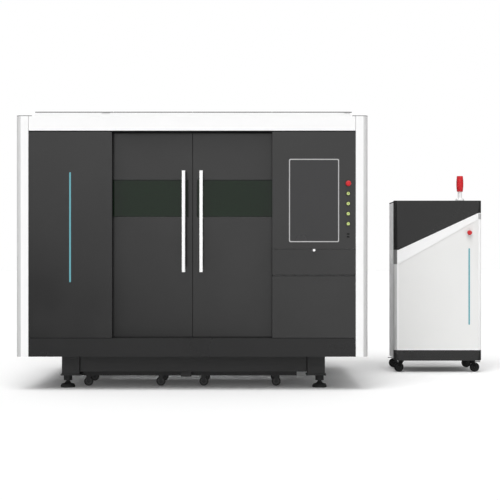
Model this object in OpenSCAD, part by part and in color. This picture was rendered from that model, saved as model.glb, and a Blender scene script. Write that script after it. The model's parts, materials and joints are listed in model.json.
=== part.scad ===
// Fiber laser cutting machine: a closed cutting cabin with sliding doors and an operator console,
// a flat bed with gantry and cutting head inside, scrap carts below, and the laser source cabinet
// that stands beside it on casters. Millimetres, +X to the right, +Y to the rear, +Z up.

/* [Enclosure] */
// Width over the two front columns
body_w = 2586; // [2500:1:2800]
// Depth from the front panels to the rear panel
body_d = 2200; // [2150:1:2500]
// Height of the enclosure's underside above the floor
base_z = 252; // [246:1:270]
// Height of the column tops above the floor
column_top = 2022; // [1950:1:2200]
// Width of a front column
column_w = 89; // [76:1:110]
// Depth of a front column
column_d = 150; // [120:1:180]
// Radius of a column's outer edge
column_r = 36; // [10:1:60]
// Height of the header between the columns
header_h = 107; // [80:1:160]
// Depth of the header
header_d = 90; // [60:1:94]
// Height of the raised roof above the columns
roof_rise = 43; // [20:1:90]
// Distance of the raised roof from the enclosure's sides
roof_inset = 115; // [60:1:200]
// Thickness of the roof's flat edge
roof_edge_t = 5; // [3:1:10]
// Height of the skirt below the front panels
skirt_h = 136; // [100:1:170]
// Depth of the skirt's top ledge
skirt_d = 160; // [150:1:200]
// Thickness of the front panels
panel_t = 30; // [20:1:45]
// Thickness of the side and rear walls
wall_t = 30; // [15:1:45]
// Sheet thickness of the skirt
sheet_t = 6; // [3:1:10]
// Gap between the header and the front panels
header_gap = 8; // [4:1:12]
// Gap between the header and a column
header_seam = 2; // [1:1:4]
// Gap between the front panels and the skirt
panel_seam = 3; // [1:1:5]

/* [Doors] */
// Width of the doorway between the side panels
doorway_w = 1180; // [1100:1:1260]
// Distance of the doors behind the front panels
door_recess = 105; // [100:1:115]
// Thickness of a door
door_t = 36; // [30:1:44]
// Gap between the closed doors
door_seam = 3; // [2:1:6]
// Width of a door hidden behind its side panel
door_overlap = 40; // [20:1:60]
// Distance of a window's lower edge below the header
window_drop = 634; // [560:1:750]
// Height of a window
window_h = 277; // [150:1:350]
// Distance of a window from the seam and from the door's outer edge
window_edge = 30; // [20:1:60]
// Thickness of the window glass
glass_t = 8; // [5:1:12]
// Distance of a handle's centre line from the seam
handle_x = 65; // [50:1:90]
// Distance of a handle's lower end below the header
handle_drop = 1041; // [900:1:1150]
// Length of a handle
handle_l = 750; // [500:1:800]
// Width of a handle
handle_w = 25; // [20:1:36]
// Thickness of a handle
handle_t = 22; // [14:1:26]
// Clear space behind a handle
handle_gap = 50; // [40:1:60]
// Width and height of the door track
track_size = 50; // [46:1:56]

/* [Console] */
// Distance of the screen frame from the console's edges
screen_edge = 123; // [110:1:150]
// Height of the screen frame
screen_h = 612; // [450:1:650]
// Distance of the screen frame above the keyboard flap
screen_foot = 51; // [30:1:120]
// Width of the screen frame's visible border
screen_border = 7; // [5:1:12]
// Height of the stop button above the screen frame's lower edge
stop_rise = 431; // [400:1:560]
// Distance between the buttons
button_pitch = 74; // [50:1:85]
// Distance of the buttons from the column
button_edge = 56; // [40:1:70]
// Diameter of a push button's collar
collar_d = 34; // [32:1:38]
// Diameter of a push button's cap
cap_d = 28; // [20:1:29]
// Diameter of a stop button's head
stop_d = 40; // [36:1:50]
// Reach of a stop button in front of its panel
stop_reach = 38; // [34:1:46]
// Distance of the keyboard flap's hinge below the header
flap_drop = 1065; // [1000:1:1120]
// Height of the keyboard flap
flap_h = 194; // [170:1:210]
// Thickness of the keyboard flap
flap_t = 22; // [16:1:28]
// Diameter of the flap's hinge barrel
barrel_d = 9; // [8:1:12]
// Distance of the keyboard from the console's edges
keyboard_edge = 87; // [60:1:120]

/* [Light strips] */
// Width of the strip in the left front panel
strip_w = 12; // [8:1:20]
// Length of the strip in the left front panel
strip_l = 809; // [400:1:1000]
// Distance of that strip's lower end below the header
strip_drop = 1115; // [1000:1:1300]
// Width of the strip in the cabinet
cab_strip_w = 13; // [8:1:20]
// Length of the strip in the cabinet
cab_strip_l = 649; // [300:1:680]

/* [Bed] */
// Width over the legs
bed_w = 1980; // [1900:1:2060]
// Distance of the bed behind the front panels
bed_y = 250; // [230:1:270]
// Depth over the legs
bed_d = 1700; // [1650:1:1760]
// Height of the bed's top above the floor
bed_top = 620; // [580:1:680]
// Width of a leg
leg_w = 132; // [110:1:140]
// Height of the leg's foot plate above the floor
leg_z = 93; // [85:1:105]
// Height of the lower cross beams above the floor
beam_z = 121; // [112:1:140]
// Height of a beam
beam_h = 180; // [140:1:200]
// Diameter of a levelling foot's pad
pad_d = 110; // [80:1:124]
// Distance of a levelling foot outside the middle of its leg
foot_shift = 28; // [0:1:30]
// Distance between the slats
slat_pitch = 90; // [70:5:120]
// Height of a slat
slat_h = 80; // [60:1:100]
// Thickness of a slat
slat_t = 4; // [3:1:6]
// Distance between the slat teeth
tooth_pitch = 60; // [50:5:100]

/* [Gantry] */
// Depth of the gantry beam
gantry_d = 160; // [140:1:180]
// Height of the gantry beam
gantry_h = 180; // [170:1:220]
// Width of the linear rails on the bed
rail_w = 23; // [20:1:30]
// Height of the linear rails on the bed
rail_h = 22; // [18:1:28]
// Height of the nozzle's tip above the slats
nozzle_clear = 100; // [95:1:140]

/* [Scrap carts] */
// Width of a cart
cart_w = 799; // [780:1:805]
// Depth of a cart
cart_d = 560; // [540:1:640]
// Gap between the two carts
cart_gap = 82; // [60:1:100]
// Height of a cart's underside above the floor
cart_z = 80; // [76:1:90]
// Height of a cart's tray
cart_h = 156; // [80:1:160]
// Wall thickness of a cart
cart_t = 4; // [3:1:6]
// Diameter of a cart wheel
cart_wheel_d = 70; // [60:1:72]
// Distance between a cart's front and rear wheels
cart_wheel_base = 430; // [400:1:440]

/* [Cabinet] */
// Clear distance between the enclosure and the cabinet
cab_gap = 353; // [300:1:500]
// Distance of the cabinet's front behind the front panels
cab_y = 1615; // [1200:1:1700]
// Width of the cabinet
cab_w = 742; // [650:1:800]
// Depth of the cabinet
cab_d = 615; // [600:1:660]
// Height of the cabinet's top above the floor
cab_top = 1456; // [1420:1:1520]
// Height of the cabinet's plinth above the floor
cab_base_z = 99; // [92:1:110]
// Height of the plinth
plinth_h = 90; // [60:1:120]
// Depth of the cabinet's front shell
shell_d = 60; // [50:1:80]
// Distance of the cabinet's sides behind the edges of its front shell
side_inset = 20; // [10:1:30]
// Edge radius of the front shell
shell_r = 32; // [15:1:45]
// Lower edge of the slanted cover on the left
cover_z_left = 1037; // [950:1:1080]
// Lower edge of the slanted cover on the right
cover_z_right = 1351; // [1280:1:1380]
// Thickness of the cabinet's top plate
top_t = 10; // [6:1:16]
// Diameter of a caster wheel
caster_d = 80; // [70:1:82]
// Distance of a caster wheel behind its swivel axis
caster_trail = 18; // [15:1:25]
// Diameter of the beacon's lens
beacon_d = 60; // [50:1:70]
// Length of the beacon's lens
beacon_l = 132; // [90:1:160]
// Height of the beacon's stem
stem_h = 77; // [40:1:120]

/* [Exhaust] */
// Outer diameter of the exhaust spigot
spigot_d = 200; // [150:10:250]
// Length of the exhaust spigot behind the rear panel
spigot_l = 80; // [60:1:120]
// Distance of the spigot's axis inside the middle of the console
spigot_in = 250; // [150:1:600]
// Height of the spigot's axis above the floor
spigot_z = 1500; // [1200:1:1650]

/* [Hidden] */
$fn = 64;
// Gap between pieces that are fitted or run past each other
run_gap = 0.3;
// Gap between a shaft and its bore
shaft_gap = 0.05;
// Small overlap that joins two solids of one piece
bite = 1;

half_w = body_w / 2;
col_in = half_w - column_w;
doorway_half = doorway_w / 2;
side_w = col_in - doorway_half;
side_mid = (col_in + doorway_half) / 2;
skirt_top = base_z + skirt_h;
header_z = column_top - header_h;
wall_inset = 8;
wall_out = half_w - wall_inset;
wall_in = wall_out - wall_t;
panel_z = skirt_top + panel_seam;
panel_top = header_z - header_gap;
skirt_lip = 34;
roof_half = half_w - roof_inset;
roof_slant = 8;
roof_seam_w = 4;
roof_seam_d = 3;
roof_seams = 3;
hatch_edge = 130;
hatch_gap = 90;
hatch_foot = 60;
hatch_head = 150;
hatch_z0 = skirt_top + hatch_foot;
hatch_z1 = column_top - hatch_head;
hatch_seam_w = 4;
hatch_seam_d = 3;
hatch_r = 20;
vent_slots = 9;
vent_pitch = 26;
vent_h = 8;
vent_d = 6;
vent_l = 420;
vent_rise = 90;
pull_w = 130;
pull_h = 40;
pull_d = 12;
pull_edge = 70;
pull_rise = 620;
rear_hatch_w = 760;
supply_x = -820;
supply_z = 640;
supply_w = 260;
supply_h = 150;
supply_t = 8;
supply_r = 12;
supply_count = 3;
supply_pitch = 80;
fitting_d = 34;
fitting_l = 16;
fitting_pipe_d = 20;
fitting_pipe_l = 34;
fitting_bore_d = 12;

// Doors
door_mid = door_recess + door_t / 2;
door_out = doorway_half + door_overlap;
door_clear = 4;
door_z = skirt_top + door_clear;
track_z = column_top - track_size;
track_t = 4;
track_edge = 24;
track_l = 2 * (col_in - track_edge);
track_clear = 8;
door_top = track_z - track_clear;
jamb_t = 8;
jamb_gap = 5;
jamb_y = door_recess - jamb_gap;
hanger_w = 60;
hanger_neck = 10;
hanger_play = 2;
hanger_slot = hanger_neck + 2 * hanger_play;
hanger_head = 30;
hanger_h = 12;
hanger_edge = 120;
guide_w = 12;
guide_h = 12;
guide_gap = 0.8;
window_z = header_z - window_drop;
window_sink = 2;
window_w = door_out - door_seam / 2 - 2 * window_edge;
window_x = door_seam / 2 + window_edge;
handle_z = header_z - handle_drop;
handle_r = 6;
handle_post_d = 20;
handle_post_edge = 45;
handle_y = door_recess - handle_gap - handle_t;

// Console
flap_z = header_z - flap_drop;
flap_top = flap_z + flap_h;
screen_w = side_w - 2 * screen_edge;
screen_z = flap_top + screen_foot;
screen_mid = screen_z + screen_h / 2;
stop_z = screen_z + stop_rise;
screen_depth = 36;
screen_r = 12;
screen_proud = 1.5;
screen_sink = 1;
screen_glass_t = 6;
button_x = col_in - button_edge;
button_count = 4;
collar_h = 7;
barrel_l = 12;
stem_d = 10;
stem_l = 24;
hole_d = 22;
cap_reach = 10;
cap_h = 6;
cap_edge = 2;
cap_dimple_d = 9;
cap_dimple = 1.2;
stop_gap = 6;
stop_neck = collar_h + stop_gap;
stop_rim = 3;
stop_crown = 8;
port_w = 18;
port_h = 9;
port_t = 12;
port_pitch = 21;
port_drop = 1;
port_r = 1;
port_z = stop_z - (button_count + 1) * button_pitch - port_drop;
hinge_pin_d = 4;
knuckle_count = 7;
hinge_edge = 4;
knuckle_l = (side_w - 2 * hinge_edge) / knuckle_count;
leaf_t = 2.5;
hinge_y = barrel_d / 2;
hinge_gap = 0.7;
hinge_slot = barrel_d / 2 + hinge_gap;
flap_seam = 2;
knob_d = 20;
knob_reach = 14;
knob_drop = 7;
knob_edge = 2;
keyboard_w = side_w - 2 * keyboard_edge;
keyboard_h = 140;
keyboard_t = 14;
key_rows = 5;
key_columns = 15;
key_gap = 3;
key_h = 5;

// Light strips
strip_z = header_z - strip_drop;
strip_t = 6;
strip_proud = 1;

// Bed
bed_half = bed_w / 2;
bed_rear = bed_y + bed_d;
leg_in = bed_half - leg_w;
leg_mid = bed_half - leg_w / 2;
beam_inset = 8;
foot_plate = 150;
foot_plate_t = 10;
foot_nut_d = 64;
foot_nut_z = 53;
foot_nut_edge = 4;
foot_neck_d = 26;
foot_pad_h = 26;
foot_pad_edge = 8;
foot_pad_rise = 5;
joint_groove_w = 8;
joint_groove_d = 20;
outrigger_w = 60;
outrigger_rise = 10;
outrigger_z = base_z + outrigger_rise;
outrigger_edge = 40;
apron_t = 4;
apron_z = outrigger_z + outrigger_w;
upper_beam_z = bed_top - beam_h;
slat_rise = 20;
slat_top = bed_top + slat_rise;
slat_rail_w = 40;
slat_rail_h = 60;
slat_edge = 30;
slat_from = bed_y + leg_w + slat_edge;
slat_to = bed_rear - leg_w - slat_edge;
slat_half = leg_in - slat_rail_w / 2;
tooth_h = 18;

// Gantry
rail_edge = 50;
rail_from = bed_y + rail_edge;
rail_to = bed_rear - rail_edge;
block_w = 70;
block_l = 100;
block_h = 36;
block_drop = 16;
block_spread = 320;
block_z = bed_top + rail_h - block_drop;
plate_t = 20;
gantry_stop = 60;
gantry_y = rail_to - block_spread / 2 - gantry_stop;
gantry_z = block_z + block_h + plate_t;
gantry_half = leg_mid + block_w / 2;
x_rail_w = 18;
x_rail_h = 15;
x_rail_edge = 34;
x_rail_over = 40;
x_rail_half = leg_in + x_rail_over;
carriage_w = 200;
carriage_t = 22;
carriage_over = 14;
shoe_w = 40;
shoe_gap = 3;
gantry_front = gantry_y - gantry_d / 2;
carriage_y = gantry_front - x_rail_h - run_gap - carriage_t;
z_rail_w = 20;
z_rail_h = 12;
z_rail_over = 60;
carriage_z0 = gantry_z - carriage_over;
carriage_z1 = gantry_z + gantry_h + carriage_over;
head_w = 80;
head_d = 66;
head_y = carriage_y - z_rail_h - run_gap - head_d;
nozzle_z = slat_top + nozzle_clear;
nozzle_l = 60;
head_neck_d = 56;
head_neck_l = 70;
head_h = 240;
nozzle_tip_d = 10;
nozzle_cone_d = 18;
nozzle_ring_d = 36;
head_inlet_d = 40;
head_inlet_h = 50;
drawer_reach = 7;
drawer_h = 34;
drawer_z = 26;
drawer_edge = 9;
head_cover_w = 58;
head_cover_h = 130;
head_cover_t = 4;
head_cover_r = 6;
z_motor_w = 70;
z_motor_d = 60;
z_motor_h = 110;
drive_w = 70;
drive_d = 90;
drive_h = 60;
drive_motor_d = 64;
drive_motor_h = 130;
pinion_d = 36;
pinion_h = 26;
rack_w = 14;
rack_h = 24;
rack_gap = 0.5;
drive_x = gantry_half + drive_w / 2;
rack_x = drive_x - pinion_d / 2 - rack_gap;
head_z = nozzle_z + nozzle_l + head_neck_l;

// Scrap carts
cart_clear = 9;
cart_y = bed_y + leg_w / 2 + foot_plate / 2 + cart_clear;
cart_x = cart_gap / 2;
cart_shift = -58;
cart_wheel_w = 24;
cart_wheel_left = 91;
cart_wheel_right = 156;
cart_wheel_inset = 24;
cart_axle_d = 10;
cheek_t = 3;
cheek_w = 36;
cheek_gap = 1;
cart_wheel_y0 = cart_y + cart_wheel_inset;
cart_rim = 12;
buffer_gap = 2;
buffer_y = 46;
buffer_d = 180;
tread_r = 4;
hub_wall = 7;
rim_t = 9;
wheel_dish = 4;

// Cabinet
cab_x = half_w + cab_gap;
cab_right = cab_x + cab_w;
cab_rear = cab_y + cab_d;
plinth_top = cab_base_z + plinth_h;
cover_flat_left = 37;
cover_flat_right = 27;
band_left = 120;
band_right = 52;
panel_foot = 11;
panel_sink = 4;
cab_button_edge = 104;
cab_stop_drop = 167;
cab_stop_z = cover_z_right - cab_stop_drop;
cab_strip_drop = 132;
cab_strip_z = cab_stop_z - cab_strip_drop - cab_strip_l;
cab_strip_x = cab_right - cab_button_edge;
cab_face = cab_y + panel_sink;
cab_side_t = 12;
cab_side_in = cab_x + side_inset;
cab_side_out = cab_right - side_inset;
plinth_chamfer = 9;
cab_vents = 12;
cab_vent_l = 380;
cab_vent_rise = 90;
cab_vent_z = plinth_top + cab_vent_rise;
cab_hatch_edge = 45;
cab_hatch_w = 4;
cab_hatch_d = 3;
beacon_edge = 178;
beacon_in = 42;
beacon_y = cab_y + beacon_in;
flange_d = 73;
flange_h = 19;
flange_edge = 6;
lens_taper = 5;
lens_ribs = 6;
lens_rib_r = 1.6;
lens_dish = 7;
stem_d_beacon = 35;
caster_edge = 67;
caster_front = 75;
caster_back = 70;
caster_y0 = cab_y + caster_front;
caster_y1 = cab_rear - caster_back;
caster_w = 26;
caster_axle_d = 8;
caster_stem_d = 12;
caster_stem_l = 32;
caster_head_d = 48;
caster_head_h = 12;
caster_cheek_t = 4;
caster_cheek_r = 12;
caster_root = 18;
brake_l = 66;
brake_w = 24;
brake_t = 4;

// Exhaust
spigot_t = 3;
spigot_flange = 25;
spigot_flange_t = 4;
spigot_x = side_mid - spigot_in;

// The frame's origin is on the floor, at the middle of the whole set
rear_y = max(body_d + spigot_l, cab_rear);
centre_x = (cab_right - half_w) / 2;
centre_y = (rear_y - stop_reach) / 2;

// Shared shapes

module box(lo, hi) {
  translate(lo) cube(hi - lo);
}

module on_both_sides() {
  children();
  mirror([1, 0, 0]) children();
}

module rounded_rect(w, h, r) {
  square([w - 2 * r, h], center = true);
  square([w, h - 2 * r], center = true);
  for (sx = [-1, 1], sy = [-1, 1])
    translate([sx * (w / 2 - r), sy * (h / 2 - r)]) circle(r);
}

// A plate that faces the front, from y0 back to y1, centred at x and z
module front_plate(x, z, w, h, r, y0, y1) {
  translate([x, y1, z]) rotate([90, 0, 0]) linear_extrude(y1 - y0) rounded_rect(w, h, r);
}

// A cylinder along Y from y0 to y1
module y_rod(x, z, d, y0, y1) {
  translate([x, y0, z]) rotate([-90, 0, 0]) cylinder(d = d, h = y1 - y0);
}

// A shape drawn in X and Z, from y0 back to y1
module y_extrude(y0, y1) {
  translate([0, y1, 0]) rotate([90, 0, 0]) linear_extrude(y1 - y0) children();
}

// A turned part whose axis points to the front, its profile drawn as radius and reach
module turned_to_front(x, y, z) {
  translate([x, y, z]) rotate([90, 0, 0]) rotate_extrude() children();
}

// Enclosure

module column_section() {
  translate([col_in, 0]) square([column_w - column_r, column_d]);
  translate([col_in, column_r]) square([column_w, column_d - column_r]);
  translate([half_w - column_r, column_r]) circle(column_r);
}

module column() {
  translate([0, 0, base_z]) linear_extrude(column_top - base_z) column_section();
}

module right_column() {
  color("white") column();
}

module left_column() {
  color("white") mirror([1, 0, 0]) column();
}

module header_beam() {
  color("white")
    box([-col_in + header_seam, 0, header_z], [col_in - header_seam, header_d, column_top]);
}

module roof_cover() {
  roof_top = column_top + roof_rise;
  pitch = 2 * roof_half / (roof_seams + 1);
  color("gainsboro") difference() {
    union() {
      translate([0, body_d / 2, column_top])
        linear_extrude(roof_edge_t) rounded_rect(body_w, body_d, column_r);
      y_extrude(roof_inset, body_d - roof_inset)
        polygon([
          [-roof_half, column_top], [roof_half, column_top],
          [roof_half - roof_slant, roof_top], [-roof_half + roof_slant, roof_top]
        ]);
    }
    for (i = [1 : roof_seams])
      translate([-roof_half + i * pitch - roof_seam_w / 2, 0, roof_top - roof_seam_d])
        cube([roof_seam_w, body_d, roof_seam_d + bite]);
  }
}

// A rounded outline on the side wall's outer face, cut as a seam
module hatch_seam(y0, y1) {
  w = y1 - y0;
  h = hatch_z1 - hatch_z0;
  translate([wall_out - hatch_seam_d, (y0 + y1) / 2, (hatch_z0 + hatch_z1) / 2])
    rotate([90, 0, 90]) linear_extrude(hatch_seam_d + bite) difference() {
      rounded_rect(w, h, hatch_r);
      rounded_rect(w - 2 * hatch_seam_w, h - 2 * hatch_seam_w, hatch_r - hatch_seam_w);
    }
}

// Louvres and a recessed pull inside one hatch
module hatch_cuts(y0, y1) {
  y_mid = (y0 + y1) / 2;
  for (i = [0 : vent_slots - 1])
    translate([wall_out - vent_d, y_mid - vent_l / 2, hatch_z0 + vent_rise + i * vent_pitch])
      cube([vent_d + bite, vent_l, vent_h]);
  translate([wall_out - pull_d, y1 - pull_edge, hatch_z0 + pull_rise]) rotate([90, 0, 90])
    linear_extrude(pull_d + bite) rounded_rect(pull_h, pull_w, pull_h / 2 - run_gap);
}

module hatch(y0, y1) {
  hatch_seam(y0, y1);
  hatch_cuts(y0, y1);
}

module side_wall() {
  y_mid = (column_d + body_d) / 2;
  difference() {
    box([wall_in, column_d, base_z], [wall_out, body_d, column_top]);
    hatch(column_d + hatch_edge, y_mid - hatch_gap / 2);
    hatch(y_mid + hatch_gap / 2, body_d - hatch_edge);
  }
}

module right_side_panel() {
  color("whitesmoke") side_wall();
}

module left_side_panel() {
  color("whitesmoke") mirror([1, 0, 0]) side_wall();
}

// The plate on the rear wall with the gas fittings
module supply_plate() {
  plate_y = body_d + supply_t;
  front_plate(supply_x, supply_z, supply_w, supply_h, supply_r, body_d - bite, plate_y);
  for (i = [0 : supply_count - 1]) {
    x = supply_x + (i - (supply_count - 1) / 2) * supply_pitch;
    translate([x, plate_y - bite, supply_z]) rotate([-90, 0, 0]) {
      cylinder(d = fitting_d, h = fitting_l + bite, $fn = 6);
      difference() {
        cylinder(d = fitting_pipe_d, h = fitting_pipe_l + bite);
        translate([0, 0, fitting_l]) cylinder(d = fitting_bore_d, h = fitting_pipe_l);
      }
    }
  }
}

// Sheet joints and the service hatch on the rear wall's outer face
module rear_cuts() {
  joint_x = rear_hatch_w / 2 + hatch_gap;
  translate([0, body_d - wall_out, 0]) rotate([0, 0, 90]) hatch(-rear_hatch_w / 2, rear_hatch_w / 2);
  for (x = [-joint_x, joint_x])
    translate([x - hatch_seam_w / 2, body_d - hatch_seam_d, base_z - bite])
      cube([hatch_seam_w, hatch_seam_d + bite, column_top - base_z + 2 * bite]);
}

module rear_panel() {
  rear_in = body_d - wall_t;
  color("whitesmoke") difference() {
    union() {
      difference() {
        box([-wall_in, rear_in, base_z], [wall_in, body_d, column_top]);
        rear_cuts();
      }
      supply_plate();
      y_rod(spigot_x, spigot_z, spigot_d + 2 * spigot_flange, body_d - bite, body_d + spigot_flange_t);
      y_rod(spigot_x, spigot_z, spigot_d, body_d - bite, body_d + spigot_l);
    }
    y_rod(spigot_x, spigot_z, spigot_d - 2 * spigot_t, rear_in - bite, body_d + spigot_l + bite);
  }
}

module front_skirt() {
  reach = col_in - run_gap;
  color("#303030") {
    box([-reach, 0, base_z], [reach, sheet_t, skirt_top]);
    box([-reach, 0, skirt_top - sheet_t], [reach, skirt_d, skirt_top]);
    box([-reach, 0, base_z], [reach, skirt_lip, base_z + sheet_t]);
  }
}

// The fold of a front panel that lines the doorway
module jamb(z0, z1) {
  box([doorway_half, panel_t - bite, z0], [doorway_half + jamb_t, jamb_y, z1]);
}

module left_front_panel() {
  color("#3c3c3c") difference() {
    union() {
      box([-col_in + run_gap, 0, panel_z], [-doorway_half, panel_t, panel_top]);
      mirror([1, 0, 0]) jamb(panel_z, panel_top);
    }
    front_plate(-side_mid, strip_z + strip_l / 2, strip_w + 2 * run_gap, strip_l + 2 * run_gap,
      strip_w / 2, -bite, strip_t - strip_proud);
  }
}

module light_strips() {
  color("deepskyblue") {
    front_plate(-side_mid, strip_z + strip_l / 2, strip_w, strip_l, strip_w / 2 - run_gap,
      -strip_proud, strip_t - strip_proud);
    front_plate(cab_strip_x, cab_strip_z + cab_strip_l / 2, cab_strip_w, cab_strip_l,
      cab_strip_w / 2 - run_gap, cab_face - strip_proud, cab_face - strip_proud + strip_t);
  }
}

// Operator console

function button_z(i) = stop_z - (i + 1) * button_pitch;

module console_panel() {
  color("#3c3c3c") difference() {
    union() {
      box([doorway_half, 0, flap_top], [col_in - run_gap, panel_t, panel_top]);
      jamb(flap_top, panel_top);
    }
    front_plate(side_mid, screen_mid, screen_w + 2 * run_gap, screen_h + 2 * run_gap, screen_r,
      -bite, panel_t + bite);
    for (i = [-1 : button_count - 1])
      y_rod(button_x, button_z(i), hole_d, -bite, panel_t + bite);
    for (i = [0, 1])
      front_plate(button_x, port_z - i * port_pitch, port_w, port_h, port_r, -bite, port_t);
  }
}

module screen_frame() {
  color("silver") difference() {
    front_plate(side_mid, screen_mid, screen_w, screen_h, screen_r, -screen_proud, screen_depth);
    front_plate(side_mid, screen_mid, screen_w - 2 * screen_border, screen_h - 2 * screen_border,
      screen_r - screen_border / 2, -screen_proud - bite, screen_sink + screen_glass_t);
  }
}

module screen_glass() {
  inner = 2 * (screen_border + run_gap);
  color("#2c2e30")
    front_plate(side_mid, screen_mid, screen_w - inner, screen_h - inner,
      screen_r - screen_border / 2, screen_sink, screen_sink + screen_glass_t);
}

// A collar on a panel whose face is at y, with a barrel through the panel's hole
module collar(x, y, z, sleeve_d) {
  difference() {
    union() {
      y_rod(x, z, collar_d, y - collar_h, y);
      y_rod(x, z, hole_d - 2 * run_gap, y - bite, y + barrel_l);
    }
    y_rod(x, z, stem_d + 2 * shaft_gap, y - collar_h - bite, y + barrel_l + bite);
    y_rod(x, z, sleeve_d, y - collar_h - bite, y - bite);
  }
}

module button_collars() {
  color("gray") {
    for (i = [0 : button_count - 1])
      collar(button_x, 0, button_z(i), cap_d + 2 * run_gap);
    collar(button_x, 0, stop_z, stem_d + 2 * shaft_gap);
    collar(cab_strip_x, cab_face, cab_stop_z, stem_d + 2 * shaft_gap);
  }
}

module push_button(i) {
  color("yellowgreen") {
    turned_to_front(button_x, 0, button_z(i))
      polygon([
        [0, cap_reach - cap_h], [cap_d / 2, cap_reach - cap_h], [cap_d / 2, cap_reach - cap_edge],
        [cap_d / 2 - cap_edge, cap_reach], [cap_dimple_d / 2, cap_reach], [0, cap_reach - cap_dimple]
      ]);
    y_rod(button_x, button_z(i), stem_d, -cap_reach + cap_dimple + bite, stem_l - cap_reach);
  }
}

// A mushroom head on a stem, on a panel whose face is at y
module stop_button(x, y, z) {
  crown_y = stop_reach - stop_crown;
  color("firebrick") {
    turned_to_front(x, y, z) {
      translate([0, stop_neck]) square([stop_d / 2 - stop_rim, stop_rim + bite]);
      translate([0, stop_neck + stop_rim]) square([stop_d / 2, crown_y - stop_neck - stop_rim]);
      translate([0, crown_y]) square([stop_d / 2 - stop_crown, stop_crown]);
      intersection() {
        translate([stop_d / 2 - stop_crown, crown_y]) circle(stop_crown);
        translate([0, crown_y - bite]) square([stop_d / 2, stop_crown + bite]);
      }
    }
    y_rod(x, z, stem_d, y - stop_neck - bite, y + barrel_l);
  }
}

// One knuckle of the flap's hinge, with the leaf that joins it to the panel above or below
module knuckle(i, up) {
  x0 = side_mid + (i - knuckle_count / 2) * knuckle_l + run_gap / 2;
  x1 = x0 + knuckle_l - run_gap;
  translate([x0, hinge_y, flap_z]) rotate([0, 90, 0]) cylinder(d = barrel_d, h = x1 - x0);
  if (up)
    box([x0, hinge_y, flap_z], [x1, hinge_y + leaf_t, flap_z + hinge_slot + bite]);
  else
    box([x0, hinge_y, flap_z - hinge_slot - bite], [x1, hinge_y + leaf_t, flap_z]);
}

module hinge_rod(d, extra) {
  l = knuckle_count * knuckle_l + extra;
  translate([side_mid - l / 2, hinge_y, flap_z]) rotate([0, 90, 0]) cylinder(d = d, h = l);
}

module lower_console_panel() {
  color("#3c3c3c") {
    box([doorway_half, 0, panel_z], [col_in - run_gap, panel_t, flap_z - hinge_slot]);
    jamb(panel_z, flap_z - hinge_slot);
    for (i = [0 : 2 : knuckle_count - 1])
      knuckle(i, false);
    hinge_rod(hinge_pin_d, 0);
  }
}

module keyboard_flap() {
  color("#3c3c3c") {
    box([doorway_half, 0, flap_z + hinge_slot],
      [col_in - flap_seam, flap_t, flap_top - flap_seam]);
    difference() {
      for (i = [1 : 2 : knuckle_count - 1])
        knuckle(i, true);
      hinge_rod(hinge_pin_d + 2 * shaft_gap, 2 * bite);
    }
    turned_to_front(side_mid, 0, flap_top - flap_seam - knob_drop)
      polygon([
        [0, -bite], [knob_d / 4, -bite], [knob_d / 4, knob_reach / 2], [knob_d / 2, knob_reach / 2],
        [knob_d / 2, knob_reach - knob_edge], [knob_d / 2 - knob_edge, knob_reach], [0, knob_reach]
      ]);
  }
}

module keyboard() {
  z0 = flap_z + (flap_h - keyboard_h) / 2;
  key_w = (keyboard_w - key_gap) / key_columns;
  key_d = (keyboard_h - key_gap) / key_rows;
  base_y = flap_t + keyboard_t;
  x0 = side_mid - keyboard_w / 2;
  color("dimgray") {
    box([x0, flap_t, z0], [x0 + keyboard_w, base_y, z0 + keyboard_h]);
    for (column = [0 : key_columns - 1], row = [0 : key_rows - 1])
      translate([x0 + key_gap + column * key_w, base_y - bite, z0 + key_gap + row * key_d])
        cube([key_w - key_gap, key_h + bite, key_d - key_gap]);
  }
}

// Doors

module door_tracks() {
  color("gray") {
    difference() {
      box([-track_l / 2, door_mid - track_size / 2, track_z],
        [track_l / 2, door_mid + track_size / 2, column_top]);
      box([-track_l, door_mid - track_size / 2 + track_t, track_z + track_t],
        [track_l, door_mid + track_size / 2 - track_t, column_top - track_t]);
      box([-track_l, door_mid - hanger_slot / 2, track_z - bite],
        [track_l, door_mid + hanger_slot / 2, track_z + track_t + bite]);
    }
    box([-track_l / 2, door_mid - guide_w / 2, skirt_top],
      [track_l / 2, door_mid + guide_w / 2, skirt_top + guide_h]);
  }
}

module hanger(x) {
  head_z0 = track_z + track_t + run_gap;
  box([x - hanger_w / 2, door_mid - hanger_neck / 2, door_top - bite],
    [x + hanger_w / 2, door_mid + hanger_neck / 2, head_z0 + bite]);
  box([x - hanger_w / 2, door_mid - hanger_head / 2, head_z0],
    [x + hanger_w / 2, door_mid + hanger_head / 2, head_z0 + hanger_h]);
}

module door() {
  groove = guide_w / 2 + guide_gap;
  difference() {
    box([door_seam / 2, door_recess, door_z], [door_out, door_recess + door_t, door_top]);
    box([window_x, door_recess - bite, window_z],
      [window_x + window_w, door_recess + door_t + bite, window_z + window_h]);
    box([0, door_mid - groove, door_z - bite],
      [door_out + bite, door_mid + groove, skirt_top + guide_h + guide_gap]);
  }
  hanger(door_seam / 2 + hanger_edge);
  hanger(door_out - hanger_edge);
}

module right_door() {
  color("#404040") door();
}

module left_door() {
  color("#404040") mirror([1, 0, 0]) door();
}

module window() {
  y0 = door_recess + window_sink;
  box([window_x + run_gap, y0, window_z + run_gap],
    [window_x + window_w - run_gap, y0 + glass_t, window_z + window_h - run_gap]);
}

module right_window() {
  color("darkgreen", 0.6) window();
}

module left_window() {
  color("darkgreen", 0.6) mirror([1, 0, 0]) window();
}

module handle() {
  translate([handle_x, handle_y + handle_t / 2, handle_z])
    linear_extrude(handle_l) rounded_rect(handle_w, handle_t, handle_r);
  for (z = [handle_z + handle_post_edge, handle_z + handle_l - handle_post_edge])
    y_rod(handle_x, z, handle_post_d, handle_y + handle_t - bite, door_recess);
}

module right_handle() {
  color("white") handle();
}

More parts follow.
